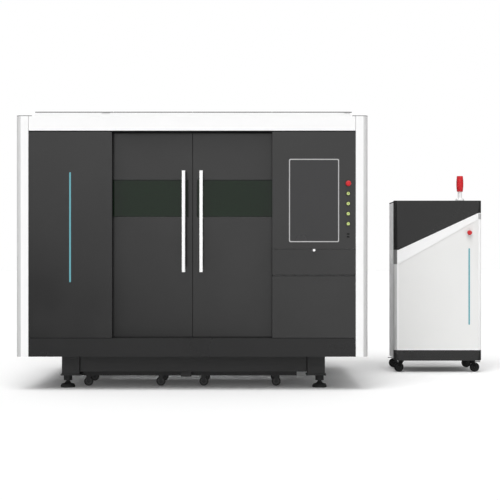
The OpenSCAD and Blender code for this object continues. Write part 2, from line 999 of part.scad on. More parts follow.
module left_handle() {
  color("white") mirror([1, 0, 0]) handle();
}

// Bed

module leg(y) {
  box([leg_in, y, leg_z], [bed_half, y + leg_w, bed_top]);
  translate([leg_mid - foot_plate / 2, y + leg_w / 2 - foot_plate / 2, leg_z])
    cube([foot_plate, foot_plate, foot_plate_t]);
}

module cross_beam(y, z) {
  difference() {
    box([-leg_in + run_gap, y + beam_inset, z], [leg_in - run_gap, y + leg_w - beam_inset, z + beam_h]);
    on_both_sides()
      box([leg_in - joint_groove_w, y, z - bite],
        [leg_in, y + beam_inset + joint_groove_d, z + beam_h + bite]);
  }
}

// The stop between the two carts, below the front beam
module cart_buffer() {
  box([cart_shift - cart_x + buffer_gap, bed_y + buffer_y, cart_z],
    [cart_shift + cart_x - buffer_gap, bed_y + buffer_y + buffer_d, beam_z + bite]);
}

module bed_frame() {
  rear_leg = bed_rear - leg_w;
  color("#2c2c2c") {
    on_both_sides() {
      leg(bed_y);
      leg(rear_leg);
      box([leg_in + beam_inset, bed_y + leg_w + run_gap, upper_beam_z],
        [bed_half - beam_inset, rear_leg - run_gap, bed_top]);
      for (y = [bed_y + outrigger_edge, rear_leg + outrigger_edge])
        box([bed_half + run_gap, y, outrigger_z], [wall_in, y + outrigger_w, apron_z]);
      box([bed_half + run_gap, skirt_d + run_gap, apron_z + run_gap],
        [wall_in, body_d - wall_t, apron_z + run_gap + apron_t]);
      box([leg_mid - rail_w / 2, rail_from, bed_top + run_gap],
        [leg_mid + rail_w / 2, rail_to, bed_top + rail_h]);
      box([rack_x - rack_w, rail_from, bed_top + run_gap], [rack_x, rail_to, bed_top + rack_h]);
    }
    cart_buffer();
    for (y = [bed_y, rear_leg]) {
      cross_beam(y, beam_z);
      cross_beam(y, upper_beam_z);
    }
  }
}

// A rubber pad on a ball stud, with a six-sided nut below the leg
module levelling_foot() {
  nut = [for (i = [0 : 5]) foot_nut_d / 2 * [cos(60 * i), sin(60 * i)]];
  color("#1c1c1c") {
    rotate_extrude() polygon([
      [0, 0], [pad_d / 2, 0], [pad_d / 2, foot_pad_h / 2], [pad_d / 2 - foot_pad_edge, foot_pad_h],
      [foot_neck_d, foot_pad_h + foot_pad_rise], [foot_neck_d / 2, foot_nut_z - foot_nut_edge],
      [foot_neck_d / 2, leg_z], [0, leg_z]
    ]);
    translate([0, 0, foot_nut_z]) linear_extrude(leg_z - foot_nut_z) polygon(nut);
  }
}

module levelling_feet() {
  on_both_sides()
    for (y = [bed_y + leg_w / 2, bed_rear - leg_w / 2])
      translate([leg_mid + foot_shift, y, 0]) levelling_foot();
}

// A slat whose upper edge is a row of teeth
module slat() {
  teeth = floor(2 * slat_half / tooth_pitch);
  pitch = 2 * slat_half / teeth;
  edge = [for (i = [0 : teeth - 1]) each [
    [-slat_half + i * pitch, slat_h - tooth_h], [-slat_half + (i + 0.5) * pitch, slat_h]
  ]];
  rotate([90, 0, 0]) linear_extrude(slat_t, center = true)
    polygon(concat([[-slat_half, 0]], edge, [[slat_half, slat_h - tooth_h], [slat_half, 0]]));
}

module slat_bed() {
  slats = floor((slat_to - slat_from) / slat_pitch);
  slat_z = slat_top - slat_h;
  color("dimgray") {
    on_both_sides()
      box([leg_in - slat_rail_w, slat_from - slat_edge, slat_z - slat_rail_h / 2],
        [leg_in, slat_to + slat_edge, slat_z + slat_rail_h / 2]);
    for (i = [0 : slats])
      translate([0, slat_from + i * (slat_to - slat_from) / slats, slat_z]) slat();
  }
}

// Gantry

module runner_block(y) {
  difference() {
    box([leg_mid - block_w / 2, y - block_l / 2, block_z],
      [leg_mid + block_w / 2, y + block_l / 2, block_z + block_h]);
    box([leg_mid - rail_w / 2 - run_gap, y - block_l, block_z - bite],
      [leg_mid + rail_w / 2 + run_gap, y + block_l, bed_top + rail_h + run_gap]);
  }
}

// Gearbox, upright motor and pinion at one end of the gantry
module gantry_drive() {
  z0 = gantry_z - plate_t;
  box([gantry_half - bite, gantry_y - drive_d / 2, z0],
    [gantry_half + drive_w, gantry_y + drive_d / 2, z0 + drive_h]);
  translate([drive_x, gantry_y, z0 + drive_h - bite]) cylinder(d = drive_motor_d, h = drive_motor_h + bite);
  translate([drive_x, gantry_y, z0 - pinion_h]) cylinder(d = pinion_d, h = pinion_h + bite);
}

module gantry_beam() {
  z1 = gantry_z + gantry_h;
  color("slategray") {
    box([-gantry_half, gantry_front, gantry_z - bite], [gantry_half, gantry_y + gantry_d / 2, z1]);
    on_both_sides() {
      box([leg_mid - block_w / 2, gantry_y - block_spread / 2, gantry_z - plate_t],
        [leg_mid + block_w / 2, gantry_y + block_spread / 2, gantry_z]);
      for (y = [gantry_y - (block_spread - block_l) / 2, gantry_y + (block_spread - block_l) / 2])
        runner_block(y);
      gantry_drive();
    }
    for (z = [gantry_z + x_rail_edge, z1 - x_rail_edge])
      box([-x_rail_half, gantry_front - x_rail_h, z - x_rail_w / 2],
        [x_rail_half, gantry_front + bite, z + x_rail_w / 2]);
  }
}

module head_carriage() {
  color("silver") {
    box([-carriage_w / 2, carriage_y, carriage_z0], [carriage_w / 2, carriage_y + carriage_t, carriage_z1]);
    for (z = [gantry_z + x_rail_edge, gantry_z + gantry_h - x_rail_edge])
      difference() {
        box([-carriage_w / 2, carriage_y + carriage_t - bite, z - shoe_w / 2],
          [carriage_w / 2, gantry_front - shoe_gap, z + shoe_w / 2]);
        box([-carriage_w, carriage_y + carriage_t, z - x_rail_w / 2 - run_gap],
          [carriage_w, gantry_front, z + x_rail_w / 2 + run_gap]);
      }
    box([-z_rail_w / 2, carriage_y - z_rail_h, carriage_z0],
      [z_rail_w / 2, carriage_y + bite, carriage_z1 + z_rail_over]);
    box([-z_motor_w / 2, carriage_y, carriage_z1 - bite],
      [z_motor_w / 2, carriage_y + z_motor_d, carriage_z1 + z_motor_h]);
  }
}

module cutting_head() {
  shoe_d = z_rail_h + run_gap - shoe_gap;
  head_back = head_y + head_d;
  neck_z = nozzle_l + head_neck_l + bite;
  color("gainsboro") {
    difference() {
      box([-head_w / 2, head_y, head_z], [head_w / 2, head_back + shoe_d, head_z + head_h]);
      box([-z_rail_w / 2 - run_gap, head_back, head_z - bite],
        [z_rail_w / 2 + run_gap, head_back + shoe_d + bite, head_z + head_h + bite]);
    }
    front_plate(0, head_z + head_h / 2, head_cover_w, head_cover_h, head_cover_r,
      head_y - head_cover_t, head_y + bite);
    box([-head_w / 2 - drawer_reach, head_y + drawer_edge, head_z + drawer_z],
      [-head_w / 2 + bite, head_back - drawer_edge, head_z + drawer_z + drawer_h]);
    translate([0, head_y + head_d / 2, nozzle_z]) rotate_extrude()
      polygon([
        [0, 0], [nozzle_tip_d / 2, 0], [nozzle_cone_d / 2, nozzle_l / 3], [nozzle_ring_d / 2, nozzle_l / 3],
        [nozzle_ring_d / 2, nozzle_l / 2], [head_neck_d / 2, nozzle_l], [head_neck_d / 2, neck_z], [0, neck_z]
      ]);
    translate([0, head_y + head_d / 2, head_z + head_h - bite])
      cylinder(d = head_inlet_d, h = head_inlet_h);
  }
}

// Scrap carts

function cart_left(side) = cart_shift + (side < 0 ? -cart_x - cart_w : cart_x);
function cart_wheel_x(side, i) = cart_left(side) + (i % 2 == 0 ? cart_wheel_left : cart_w - cart_wheel_right);
function cart_wheel_y(i) = cart_wheel_y0 + (i < 2 ? 0 : cart_wheel_base);

module cart_caster(x, y) {
  axle_z = cart_wheel_d / 2;
  reach = cart_wheel_w / 2 + cheek_gap;
  for (side = [-1, 1]) {
    y_mid = y + side * (reach + cheek_t / 2);
    y_extrude(y_mid - cheek_t / 2, y_mid + cheek_t / 2) {
      translate([x, axle_z]) circle(d = cheek_w / 2);
      polygon([[x - cheek_w / 4, axle_z], [x + cheek_w / 4, axle_z], [x + cheek_w / 2, cart_z + bite],
        [x - cheek_w / 2, cart_z + bite]]);
    }
  }
  y_rod(x, axle_z, cart_axle_d, y - reach - cheek_t, y + reach + cheek_t);
}

// The folded rim round a cart's mouth
module cart_lip(x0) {
  z1 = cart_z + cart_h;
  difference() {
    box([x0, cart_y, z1 - cart_t], [x0 + cart_w, cart_y + cart_d, z1]);
    box([x0 + cart_rim, cart_y + cart_rim, z1 - cart_t - bite],
      [x0 + cart_w - cart_rim, cart_y + cart_d - cart_rim, z1 + bite]);
  }
}

module cart(side) {
  x0 = cart_left(side);
  color("#2c2c2c") {
    difference() {
      box([x0, cart_y, cart_z], [x0 + cart_w, cart_y + cart_d, cart_z + cart_h]);
      box([x0 + cart_t, cart_y + cart_t, cart_z + cart_t],
        [x0 + cart_w - cart_t, cart_y + cart_d - cart_t, cart_z + cart_h + bite]);
    }
    cart_lip(x0);
    for (i = [0 : 3])
      cart_caster(cart_wheel_x(side, i), cart_wheel_y(i));
  }
}

module left_cart() {
  cart(-1);
}

module right_cart() {
  cart(1);
}

// A wheel whose axle lies along Y, with a rounded tread and a dished face on each side
module wheel(x, y, z, d, w, bore) {
  hub_r = bore / 2 + hub_wall;
  color("#262626") translate([x, y, z]) rotate([90, 0, 0]) rotate_extrude() difference() {
    union() {
      translate([bore / 2, -w / 2]) square([d / 2 - bore / 2 - tread_r, w]);
      translate([d / 2 - tread_r - bite, -w / 2 + tread_r]) square([tread_r + bite, w - 2 * tread_r]);
      for (side = [-1, 1])
        translate([d / 2 - tread_r, side * (w / 2 - tread_r)]) circle(tread_r);
    }
    for (z0 = [-w / 2 - bite, w / 2 - wheel_dish])
      translate([hub_r, z0]) square([d / 2 - rim_t - hub_r, wheel_dish + bite]);
  }
}

module cart_wheel(side, i) {
  wheel(cart_wheel_x(side, i), cart_wheel_y(i), cart_wheel_d / 2, cart_wheel_d, cart_wheel_w,
    cart_axle_d + 2 * shaft_gap);
}

// Cabinet

// Plan of the front shell, with its two outer edges rounded
module shell_plan() {
  translate([cab_x, cab_y + shell_r]) square([cab_w, shell_d - shell_r]);
  translate([cab_x + shell_r, cab_y]) square([cab_w - 2 * shell_r, shell_d]);
  for (x = [cab_x + shell_r, cab_right - shell_r])
    translate([x, cab_y + shell_r]) circle(shell_r);
}

module front_shell() {
  intersection() {
    translate([0, 0, cab_base_z]) linear_extrude(cab_top - cab_base_z) shell_plan();
    y_extrude(cab_y - bite, cab_y + shell_d) children();
  }
}

module cabinet_body() {
  back_z = plinth_top + cab_hatch_edge;
  back_w = cab_side_out - cab_side_in - 2 * cab_hatch_edge;
  back_h = cab_top - top_t - cab_hatch_edge - back_z;
  x_mid = (cab_side_in + cab_side_out) / 2;
  color("lightgray") difference() {
    union() {
      box([cab_side_in, cab_y + shell_d, plinth_top], [cab_side_out, cab_rear, cab_top - top_t]);
      for (x = [cab_side_in, cab_side_out - cab_side_t])
        box([x, cab_y + shell_d, cab_base_z], [x + cab_side_t, cab_rear, plinth_top + bite]);
    }
    y_extrude(cab_rear - cab_hatch_d, cab_rear + bite) translate([x_mid, back_z + back_h / 2])
      difference() {
        rounded_rect(back_w, back_h, cab_hatch_w);
        square([back_w - 2 * cab_hatch_w, back_h - 2 * cab_hatch_w], center = true);
      }
    for (i = [0 : cab_vents - 1])
      translate([x_mid - cab_vent_l / 2, cab_rear - vent_d, cab_vent_z + i * vent_pitch])
        cube([cab_vent_l, vent_d + bite, vent_h]);
  }
}

module cabinet_top_cover() {
  color("#2a2a2a") {
    front_shell()
      polygon([
        [cab_x, cover_z_left], [cab_x + cover_flat_left, cover_z_left],
        [cab_right - cover_flat_right, cover_z_right], [cab_right, cover_z_right],
        [cab_right, cab_top], [cab_x, cab_top]
      ]);
    box([cab_side_in, cab_y + shell_d - bite, cab_top - top_t], [cab_side_out, cab_rear, cab_top]);
  }
}

module cabinet_front_panel() {
  x0 = cab_x + cover_flat_left;
  x1 = cab_right - cover_flat_right;
  color("whitesmoke") difference() {
    front_shell()
      polygon([
        [cab_x, plinth_top], [cab_right, plinth_top], [cab_right, cover_z_right - run_gap],
        [x1, cover_z_right - run_gap], [x0, cover_z_left - run_gap], [cab_x, cover_z_left - run_gap]
      ]);
    y_extrude(cab_y - bite, cab_face)
      polygon([
        [x0, plinth_top + panel_foot], [x1, plinth_top + panel_foot],
        [x1, cover_z_right - band_right], [x0, cover_z_left - band_left]
      ]);
    front_plate(cab_strip_x, cab_strip_z + cab_strip_l / 2, cab_strip_w + 2 * run_gap,
      cab_strip_l + 2 * run_gap, cab_strip_w / 2, cab_y, cab_face + strip_t - strip_proud);
    y_rod(cab_strip_x, cab_stop_z, hole_d, cab_y, cab_y + shell_d + bite);
  }
}

function caster_axis_x(i) = i % 2 == 0 ? cab_x + caster_edge : cab_right - caster_edge;
function caster_axis_y(i) = i < 2 ? caster_y0 : caster_y1;
function caster_wheel_x(i) = caster_axis_x(i) + (i % 2 == 0 ? -1 : 1) * caster_trail;

module cabinet_plinth() {
  color("#1e1e1e") difference() {
    union() {
      front_shell()
        polygon([
          [cab_x + plinth_chamfer, cab_base_z], [cab_right - plinth_chamfer, cab_base_z],
          [cab_right, cab_base_z + plinth_chamfer], [cab_right, plinth_top], [cab_x, plinth_top],
          [cab_x, cab_base_z + plinth_chamfer]
        ]);
      box([cab_side_in + cab_side_t + run_gap, cab_y + shell_d - bite, cab_base_z],
        [cab_side_out - cab_side_t - run_gap, cab_rear, plinth_top]);
    }
    for (i = [0 : 3])
      translate([caster_axis_x(i), caster_axis_y(i), cab_base_z - bite])
        cylinder(d = caster_stem_d + 2 * shaft_gap, h = caster_stem_l + 2 * bite);
  }
}

module caster_fork(i) {
  x = caster_axis_x(i);
  y = caster_axis_y(i);
  wx = caster_wheel_x(i);
  axle_z = caster_d / 2;
  reach = caster_w / 2 + cheek_gap;
  head_z0 = cab_base_z - run_gap - caster_head_h;
  color("#1e1e1e") {
    translate([x, y, head_z0]) cylinder(d = caster_head_d, h = caster_head_h);
    translate([x, y, head_z0]) cylinder(d = caster_stem_d, h = caster_head_h + run_gap + caster_stem_l);
    for (side = [-1, 1]) {
      y_mid = y + side * (reach + caster_cheek_t / 2);
      y_extrude(y_mid - caster_cheek_t / 2, y_mid + caster_cheek_t / 2) {
        translate([wx, axle_z]) circle(caster_cheek_r);
        polygon([
          [wx - caster_cheek_r, axle_z], [wx + caster_cheek_r, axle_z],
          [x + caster_root, head_z0 + bite], [x - caster_root, head_z0 + bite]
        ]);
      }
    }
    y_rod(wx, axle_z, caster_axle_d, y - reach - caster_cheek_t, y + reach + caster_cheek_t);
    translate([x, y, head_z0 - brake_t]) rotate([0, 0, i % 2 == 0 ? 180 : 0])
      translate([0, -brake_w / 2, 0]) cube([brake_l, brake_w, brake_t + bite]);
  }
}

module caster_wheel(i) {
  wheel(caster_wheel_x(i), caster_axis_y(i), caster_d / 2, caster_d, caster_w,
    caster_axle_d + 2 * shaft_gap);
}

module beacon_stand() {
  color("white") translate([cab_right - beacon_edge, beacon_y, cab_top]) rotate_extrude()
    polygon([
      [0, 0], [flange_d / 2, 0], [flange_d / 2, flange_h / 2], [flange_d / 2 - flange_edge, flange_h],
      [stem_d_beacon / 2, flange_h], [stem_d_beacon / 2, stem_h], [0, stem_h]
    ]);
}

// A barrel-shaped lens: an arc turned about the beacon's axis, with ring grooves and a dished top
module beacon_lens() {
  arc_r = (beacon_l * beacon_l / 4 + lens_taper * lens_taper) / (2 * lens_taper);
  arc_x = beacon_d / 2 - arc_r;
  pitch = beacon_l / (lens_ribs + 1);
  color("crimson") translate([cab_right - beacon_edge, beacon_y, cab_top + stem_h]) rotate_extrude()
    difference() {
      intersection() {
        translate([arc_x, beacon_l / 2]) circle(arc_r, $fn = 360);
        square([beacon_d, beacon_l]);
      }
      for (i = [1 : lens_ribs])
        translate([arc_x + sqrt(arc_r * arc_r - pow(i * pitch - beacon_l / 2, 2)), i * pitch])
          circle(lens_rib_r, $fn = 24);
      polygon([
        [0, beacon_l - lens_dish], [beacon_d / 2 - 2 * lens_taper, beacon_l + bite], [0, beacon_l + bite]
      ]);
    }
}

module cabinet_stop_button() {
  stop_button(cab_strip_x, cab_face, cab_stop_z);
}

module emergency_stop_button() {
  stop_button(button_x, 0, stop_z);
}

module in_frame() {
  translate([-centre_x, -centre_y, 0]) children();
}

in_frame() bed_frame();
in_frame() levelling_feet();
in_frame() slat_bed();
in_frame() left_column();
in_frame() right_column();
in_frame() header_beam();
in_frame() roof_cover();
in_frame() left_side_panel();
in_frame() right_side_panel();
in_frame() rear_panel();
in_frame() front_skirt();
in_frame() left_front_panel();
in_frame() light_strips();
in_frame() console_panel();
in_frame() screen_frame();
in_frame() screen_glass();
in_frame() button_collars();
in_frame() lower_console_panel();
in_frame() door_tracks();
in_frame() left_door();
in_frame() left_window();
in_frame() left_handle();
in_frame() right_door();
in_frame() right_window();
in_frame() right_handle();
in_frame() keyboard_flap();
in_frame() keyboard();
in_frame() emergency_stop_button();
in_frame() push_button(0);  // push_button_1
in_frame() push_button(1);  // push_button_2
in_frame() push_button(2);  // push_button_3
in_frame() push_button(3);  // push_button_4
in_frame() gantry_beam();
in_frame() head_carriage();
in_frame() cutting_head();
in_frame() left_cart();
in_frame() right_cart();
in_frame() cart_wheel(-1, 0);  // left_cart_wheel_1
in_frame() cart_wheel(-1, 1);  // left_cart_wheel_2
in_frame() cart_wheel(-1, 2);  // left_cart_wheel_3
in_frame() cart_wheel(-1, 3);  // left_cart_wheel_4
in_frame() cart_wheel(1, 0);  // right_cart_wheel_1
in_frame() cart_wheel(1, 1);  // right_cart_wheel_2
in_frame() cart_wheel(1, 2);  // right_cart_wheel_3
in_frame() cart_wheel(1, 3);  // right_cart_wheel_4
in_frame() cabinet_body();
in_frame() cabinet_top_cover();
in_frame() cabinet_front_panel();
in_frame() cabinet_plinth();
in_frame() cabinet_stop_button();
in_frame() beacon_stand();
in_frame() beacon_lens();
in_frame() caster_fork(0);  // caster_fork_1
in_frame() caster_fork(1);  // caster_fork_2
in_frame() caster_fork(2);  // caster_fork_3
in_frame() caster_fork(3);  // caster_fork_4
in_frame() caster_wheel(0);  // caster_wheel_1
in_frame() caster_wheel(1);  // caster_wheel_2
in_frame() caster_wheel(2);  // caster_wheel_3
in_frame() caster_wheel(3);  // caster_wheel_4
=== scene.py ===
"""Looks of the fiber laser cutting machine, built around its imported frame. Metres, +Z up."""
import json
import math

import bmesh
import bpy
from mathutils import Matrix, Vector


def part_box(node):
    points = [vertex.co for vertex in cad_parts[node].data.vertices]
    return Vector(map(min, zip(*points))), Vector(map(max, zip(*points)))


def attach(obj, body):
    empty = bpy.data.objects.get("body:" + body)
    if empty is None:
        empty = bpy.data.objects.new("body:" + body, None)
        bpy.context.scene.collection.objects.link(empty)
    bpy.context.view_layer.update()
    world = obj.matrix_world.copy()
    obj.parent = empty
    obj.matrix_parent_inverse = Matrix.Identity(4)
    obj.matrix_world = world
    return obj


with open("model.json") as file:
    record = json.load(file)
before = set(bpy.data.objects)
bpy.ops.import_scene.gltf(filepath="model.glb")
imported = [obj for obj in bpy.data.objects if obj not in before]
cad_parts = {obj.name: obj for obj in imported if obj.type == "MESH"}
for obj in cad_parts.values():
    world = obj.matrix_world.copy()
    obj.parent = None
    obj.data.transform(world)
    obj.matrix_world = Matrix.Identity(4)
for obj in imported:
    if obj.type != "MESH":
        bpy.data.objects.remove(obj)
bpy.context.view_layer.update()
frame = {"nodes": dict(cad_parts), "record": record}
nodes = frame["nodes"]

# Camera of the photograph: distances from the machine's front panel and middle
CAMERA_DISTANCE = 10.6
CAMERA_SIDE = 0.426
CAMERA_HEIGHT = 1.037
CAMERA_LENS = 103.8
CAMERA_REACH = 100.0
SENSOR_WIDTH = 36.0

# Light: the share of a white surface's brightness that comes from each source
AMBIENT_BASE = 0.17
AMBIENT_FRONT = 0.63
AMBIENT_TOP = 0.42
KEY_STRENGTH = 1.63
KEY_ANGLE = math.radians(45)
KEY_DIRECTION = Vector((0.12, 0.52, -0.84))
FLOOR_ALBEDO = 0.97
FLOOR_GLOW = 0.05
FLOOR_SIZE = 120.0
FLOOR_DROP = 0.0006

# What glossy surfaces see: how bright the front wall stays at its sides and near the ground
WALL_SIDES = 0.24
WALL_FOOT = 0.6

FRONT_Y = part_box("console_panel")[0].y
REAR_Y = FRONT_Y + 2.2
MACHINE_X = (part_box("left_column")[0].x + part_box("right_column")[1].x) / 2


def at(x, y, z):
    """A point given in millimetres from the machine's middle, front face and floor."""
    return Vector((MACHINE_X + x / 1000, FRONT_Y + y / 1000, z / 1000))


def x_at(x):
    """A place across the machine, given in millimetres from its middle."""
    return at(x, 0, 0).x


def y_at(y):
    """A depth in the machine, given in millimetres from its front face."""
    return at(0, y, 0).y


def z_at(z):
    """A height given in millimetres above the floor."""
    return at(0, 0, z).z


# Shader nodes

NOISE_LOW, NOISE_HIGH = 0.3, 0.7


def math_node(tree, operation, first, second):
    """A math node of two sockets or numbers."""
    node = tree.nodes.new("ShaderNodeMath")
    node.operation = operation
    for socket, value in zip(node.inputs, (first, second)):
        if isinstance(value, (int, float)):
            socket.default_value = value
        else:
            tree.links.new(value, socket)
    return node.outputs[0]


def mix_value(tree, factor, first, second):
    """A value that goes from the first to the second with the factor."""
    node = tree.nodes.new("ShaderNodeMix")
    tree.links.new(factor, node.inputs["Factor"])
    for name, value in (("A", first), ("B", second)):
        if isinstance(value, (int, float)):
            node.inputs[name].default_value = value
        else:
            tree.links.new(value, node.inputs[name])
    return node.outputs["Result"]


def map_range(tree, source, start, end, low=0.0, high=1.0, kind="SMOOTHSTEP"):
    """A step from low to high while the source runs from start to end."""
    node = tree.nodes.new("ShaderNodeMapRange")
    node.interpolation_type = kind
    for name, value in (("From Min", start), ("From Max", end), ("To Min", low), ("To Max", high)):
        node.inputs[name].default_value = value
    tree.links.new(source, node.inputs["Value"])
    return node.outputs["Result"]


def around(tree, noise, middle, drift):
    """A value that drifts to both sides of its middle with a noise."""
    return map_range(tree, noise, NOISE_LOW, NOISE_HIGH, middle - drift, middle + drift,
                     "LINEAR")


def object_noise(tree, scale, detail=2.0):
    """A noise from 0 to 1 in the object's own coordinates."""
    coords = tree.nodes.new("ShaderNodeTexCoord")
    noise = tree.nodes.new("ShaderNodeTexNoise")
    noise.inputs["Scale"].default_value = scale
    noise.inputs["Detail"].default_value = detail
    tree.links.new(coords.outputs["Object"], noise.inputs["Vector"])
    return noise.outputs["Fac"]


def tinted(tree, noise, color, spread):
    """A colour that varies by its spread with a noise."""
    mix = tree.nodes.new("ShaderNodeMix")
    mix.data_type = "RGBA"
    mix.inputs["A"].default_value = [c * (1 - spread) for c in color] + [1]
    mix.inputs["B"].default_value = [min(1.0, c * (1 + spread)) for c in color] + [1]
    tree.links.new(noise, mix.inputs["Factor"])
    return mix.outputs["Result"]


def add_bump(tree, shader, height, distance, strength=1.0):
    """Bump of a height field, its depth given in metres."""
    bump = tree.nodes.new("ShaderNodeBump")
    bump.inputs["Strength"].default_value = strength
    bump.inputs["Distance"].default_value = distance
    tree.links.new(height, bump.inputs["Height"])
    tree.links.new(bump.outputs["Normal"], shader.inputs["Normal"])


# Materials

def new_material(name):
    """An empty principled material with its tree and shader."""
    material = bpy.data.materials.new(name)
    material.use_nodes = True
    tree = material.node_tree
    return material, tree, tree.nodes["Principled BSDF"]


def coated(name, color, rough, grain=500.0, depth=0.00012, spread=0.04, specular=0.5, drift=0.04):
    """Powder coat: orange peel bump, slight cloudiness and a roughness that drifts."""
    material, tree, shader = new_material(name)
    cloud = object_noise(tree, scale=3.0, detail=4.0)
    tree.links.new(tinted(tree, cloud, color, spread), shader.inputs["Base Color"])
    tree.links.new(around(tree, cloud, rough, drift), shader.inputs["Roughness"])
    shader.inputs["Specular IOR Level"].default_value = specular
    add_bump(tree, shader, object_noise(tree, grain), depth)
    return material


def moulded(name, color, rough, grain=1500.0, depth=0.00004, coat=0.0):
    """Moulded plastic or rubber with a fine grain."""
    material = coated(name, color, rough, grain, depth, spread=0.06)
    material.node_tree.nodes["Principled BSDF"].inputs["Coat Weight"].default_value = coat
    return material


def metal(name, color, rough, stretch, spread=0.12, drift=0.08, depth=0.00005):
    """Machined or drawn metal: a noise whose lines run along the axis of the least stretch."""
    material, tree, shader = new_material(name)
    coords = tree.nodes.new("ShaderNodeTexCoord")
    mapping = tree.nodes.new("ShaderNodeMapping")
    mapping.inputs["Scale"].default_value = stretch
    tree.links.new(coords.outputs["Object"], mapping.inputs["Vector"])
    noise = tree.nodes.new("ShaderNodeTexNoise")
    noise.inputs["Scale"].default_value = 1.0
    noise.inputs["Detail"].default_value = 6.0
    tree.links.new(mapping.outputs["Vector"], noise.inputs["Vector"])
    lines = noise.outputs["Fac"]
    tree.links.new(tinted(tree, lines, color, spread), shader.inputs["Base Color"])
    tree.links.new(around(tree, lines, rough, drift), shader.inputs["Roughness"])
    shader.inputs["Metallic"].default_value = 1.0
    add_bump(tree, shader, lines, depth)
    return material


def glowing(name, color, strength):
    """A lit diffuser with a slightly cloudy tint."""
    material, tree, shader = new_material(name)
    tint = tinted(tree, object_noise(tree, scale=40.0), color, spread=0.05)
    tree.links.new(tint, shader.inputs["Base Color"])
    tree.links.new(tint, shader.inputs["Emission Color"])
    shader.inputs["Emission Strength"].default_value = strength
    shader.inputs["Roughness"].default_value = 0.4
    return material


def filter_glass(name, color, rough):
    """Dark filter glass that lets no light through to the eye, with a faint waviness."""
    material, tree, shader = new_material(name)
    tint = tinted(tree, object_noise(tree, scale=2.0), color, spread=0.05)
    tree.links.new(tint, shader.inputs["Base Color"])
    shader.inputs["Roughness"].default_value = rough
    shader.inputs["IOR"].default_value = 1.49
    shader.inputs["Specular IOR Level"].default_value = 0.36
    add_bump(tree, shader, object_noise(tree, scale=6.0), 0.0003, strength=0.3)
    return material


def grey(value):
    """An even grey."""
    return (value, value, value)


# Materials of the slots in the record
WHITE = coated("white_paint", grey(0.86), 0.40, grain=420.0, depth=0.00006, spread=0.012)
DARK = coated("dark_paint", grey(0.018), 0.19, grain=650.0, depth=0.00002, spread=0.05,
              specular=0.6)
SKIRT = coated("skirt_paint", (0.0113, 0.0113, 0.0115), 0.30, grain=650.0, depth=0.00004)
BED = coated("frame_paint", (0.0328, 0.0328, 0.0332), 0.5, grain=260.0, depth=0.0002, specular=0.4)
GREY = coated("grey_paint", grey(0.92), 0.45, grain=420.0, depth=0.00006, spread=0.015)
BLACK = coated("black_paint", grey(0.011), 0.28, depth=0.00003, specular=0.55)
STEEL = metal("ground_steel", (0.42, 0.42, 0.43), 0.36, (4, 90, 90))
SLAT = metal("slat_steel", (0.20, 0.19, 0.18), 0.55, (30, 30, 30), spread=0.35)
ALUMINIUM = metal("anodised_aluminium", (0.66, 0.67, 0.68), 0.38, (60, 60, 8))
BORDER = coated("screen_border", grey(0.46), 0.4, grain=900.0, depth=0.00003)
SCREEN = moulded("screen_panel", (0.028, 0.028, 0.029), 0.24, depth=0.00001)
LASER_GLASS = filter_glass("laser_glass", (0.0022, 0.0105, 0.0030), 0.10)
HANDLE = coated("handle_paint", grey(0.92), 0.3, depth=0.00004, spread=0.01)
STRIP = glowing("strip_light", (0.095, 0.29, 0.335), 0.30)
COLLAR = moulded("collar_plastic", grey(0.012), 0.3)
BUTTON_GREEN = moulded("button_green", (0.50, 0.60, 0.20), 0.36, coat=0.1)
BUTTON_RED = moulded("button_red", (0.58, 0.008, 0.014), 0.38, coat=0.1)
KEYS = moulded("keyboard_plastic", (0.035, 0.035, 0.036), 0.55)
FOOT = moulded("foot_rubber", grey(0.014), 0.6, grain=900.0, depth=0.0001)
WHEEL = moulded("wheel_rubber", grey(0.014), 0.62, grain=900.0, depth=0.0001)
FORK = moulded("caster_plastic", grey(0.009), 0.42)
LENS = moulded("beacon_red", (0.60, 0.008, 0.014), 0.34, coat=0.1)
STAND = moulded("beacon_white", grey(0.80), 0.35)

SLOT_MATERIALS = {
    "white_paint": WHITE, "dark_paint": DARK, "skirt_paint": SKIRT, "frame_paint": BED,
    "grey_paint": GREY, "black_paint": BLACK, "steel": STEEL, "slat_steel": SLAT,
    "aluminium": ALUMINIUM, "screen_border": BORDER, "screen": SCREEN,
    "laser_glass": LASER_GLASS, "handle_white": HANDLE, "strip_light": STRIP,
    "collar_plastic": COLLAR, "button_green": BUTTON_GREEN, "button_red": BUTTON_RED,
    "keyboard_plastic": KEYS, "foot_rubber": FOOT, "wheel_rubber": WHEEL,
    "caster_plastic": FORK, "beacon_red": LENS, "beacon_white": STAND,
}

# Materials of the cabinet's casters and the detail pieces
SEAL = moulded("seal_rubber", grey(0.004), 0.7, grain=900.0, depth=0.0001)
HUB = moulded("hub_plastic", grey(0.07), 0.4)
CASTER = coated("caster_black", grey(0.004), 0.6, grain=900.0, depth=0.0001, specular=0.2)
CASTER_HUB = coated("caster_hub_black", grey(0.012), 0.5, grain=900.0, depth=0.00004, specular=0.3)
BUTTON_MARK = moulded("button_mark", (0.20, 0.26, 0.08), 0.4)
ZINC = metal("zinc_bolt", grey(0.50), 0.32, (200, 200, 200))
POCKET = coated("pocket_paint", grey(0.004), 0.7, grain=650.0, depth=0.00004)
CLIP = coated("clip_grey", grey(0.22), 0.45, grain=900.0, depth=0.00003)
BLADE = coated("louvre_black", grey(0.008), 0.6, grain=800.0, depth=0.00006)
DIFFUSER = glowing("chamber_diffuser", (0.85, 0.87, 0.88), 6.0)


def paint(node, material):
    """Gives a CAD node a material."""
    nodes[node].data.materials.clear()
    nodes[node].data.materials.append(material)


for part in frame["record"]["subparts"]:
    paint(part["node"], SLOT_MATERIALS[part["material_slot"]])
for i in range(1, 5):
    paint("caster_wheel_%d" % i, CASTER)
    paint("caster_fork_%d" % i, CASTER)


# Zones: parts of one solid that carry another colour; several of them are painted shade and
# painted light

FAR = 100.0
MARGIN = 0.001
# Near black for painted shade in gaps, recesses and on shaded edges
SHADE_BLACK = grey(0.002)


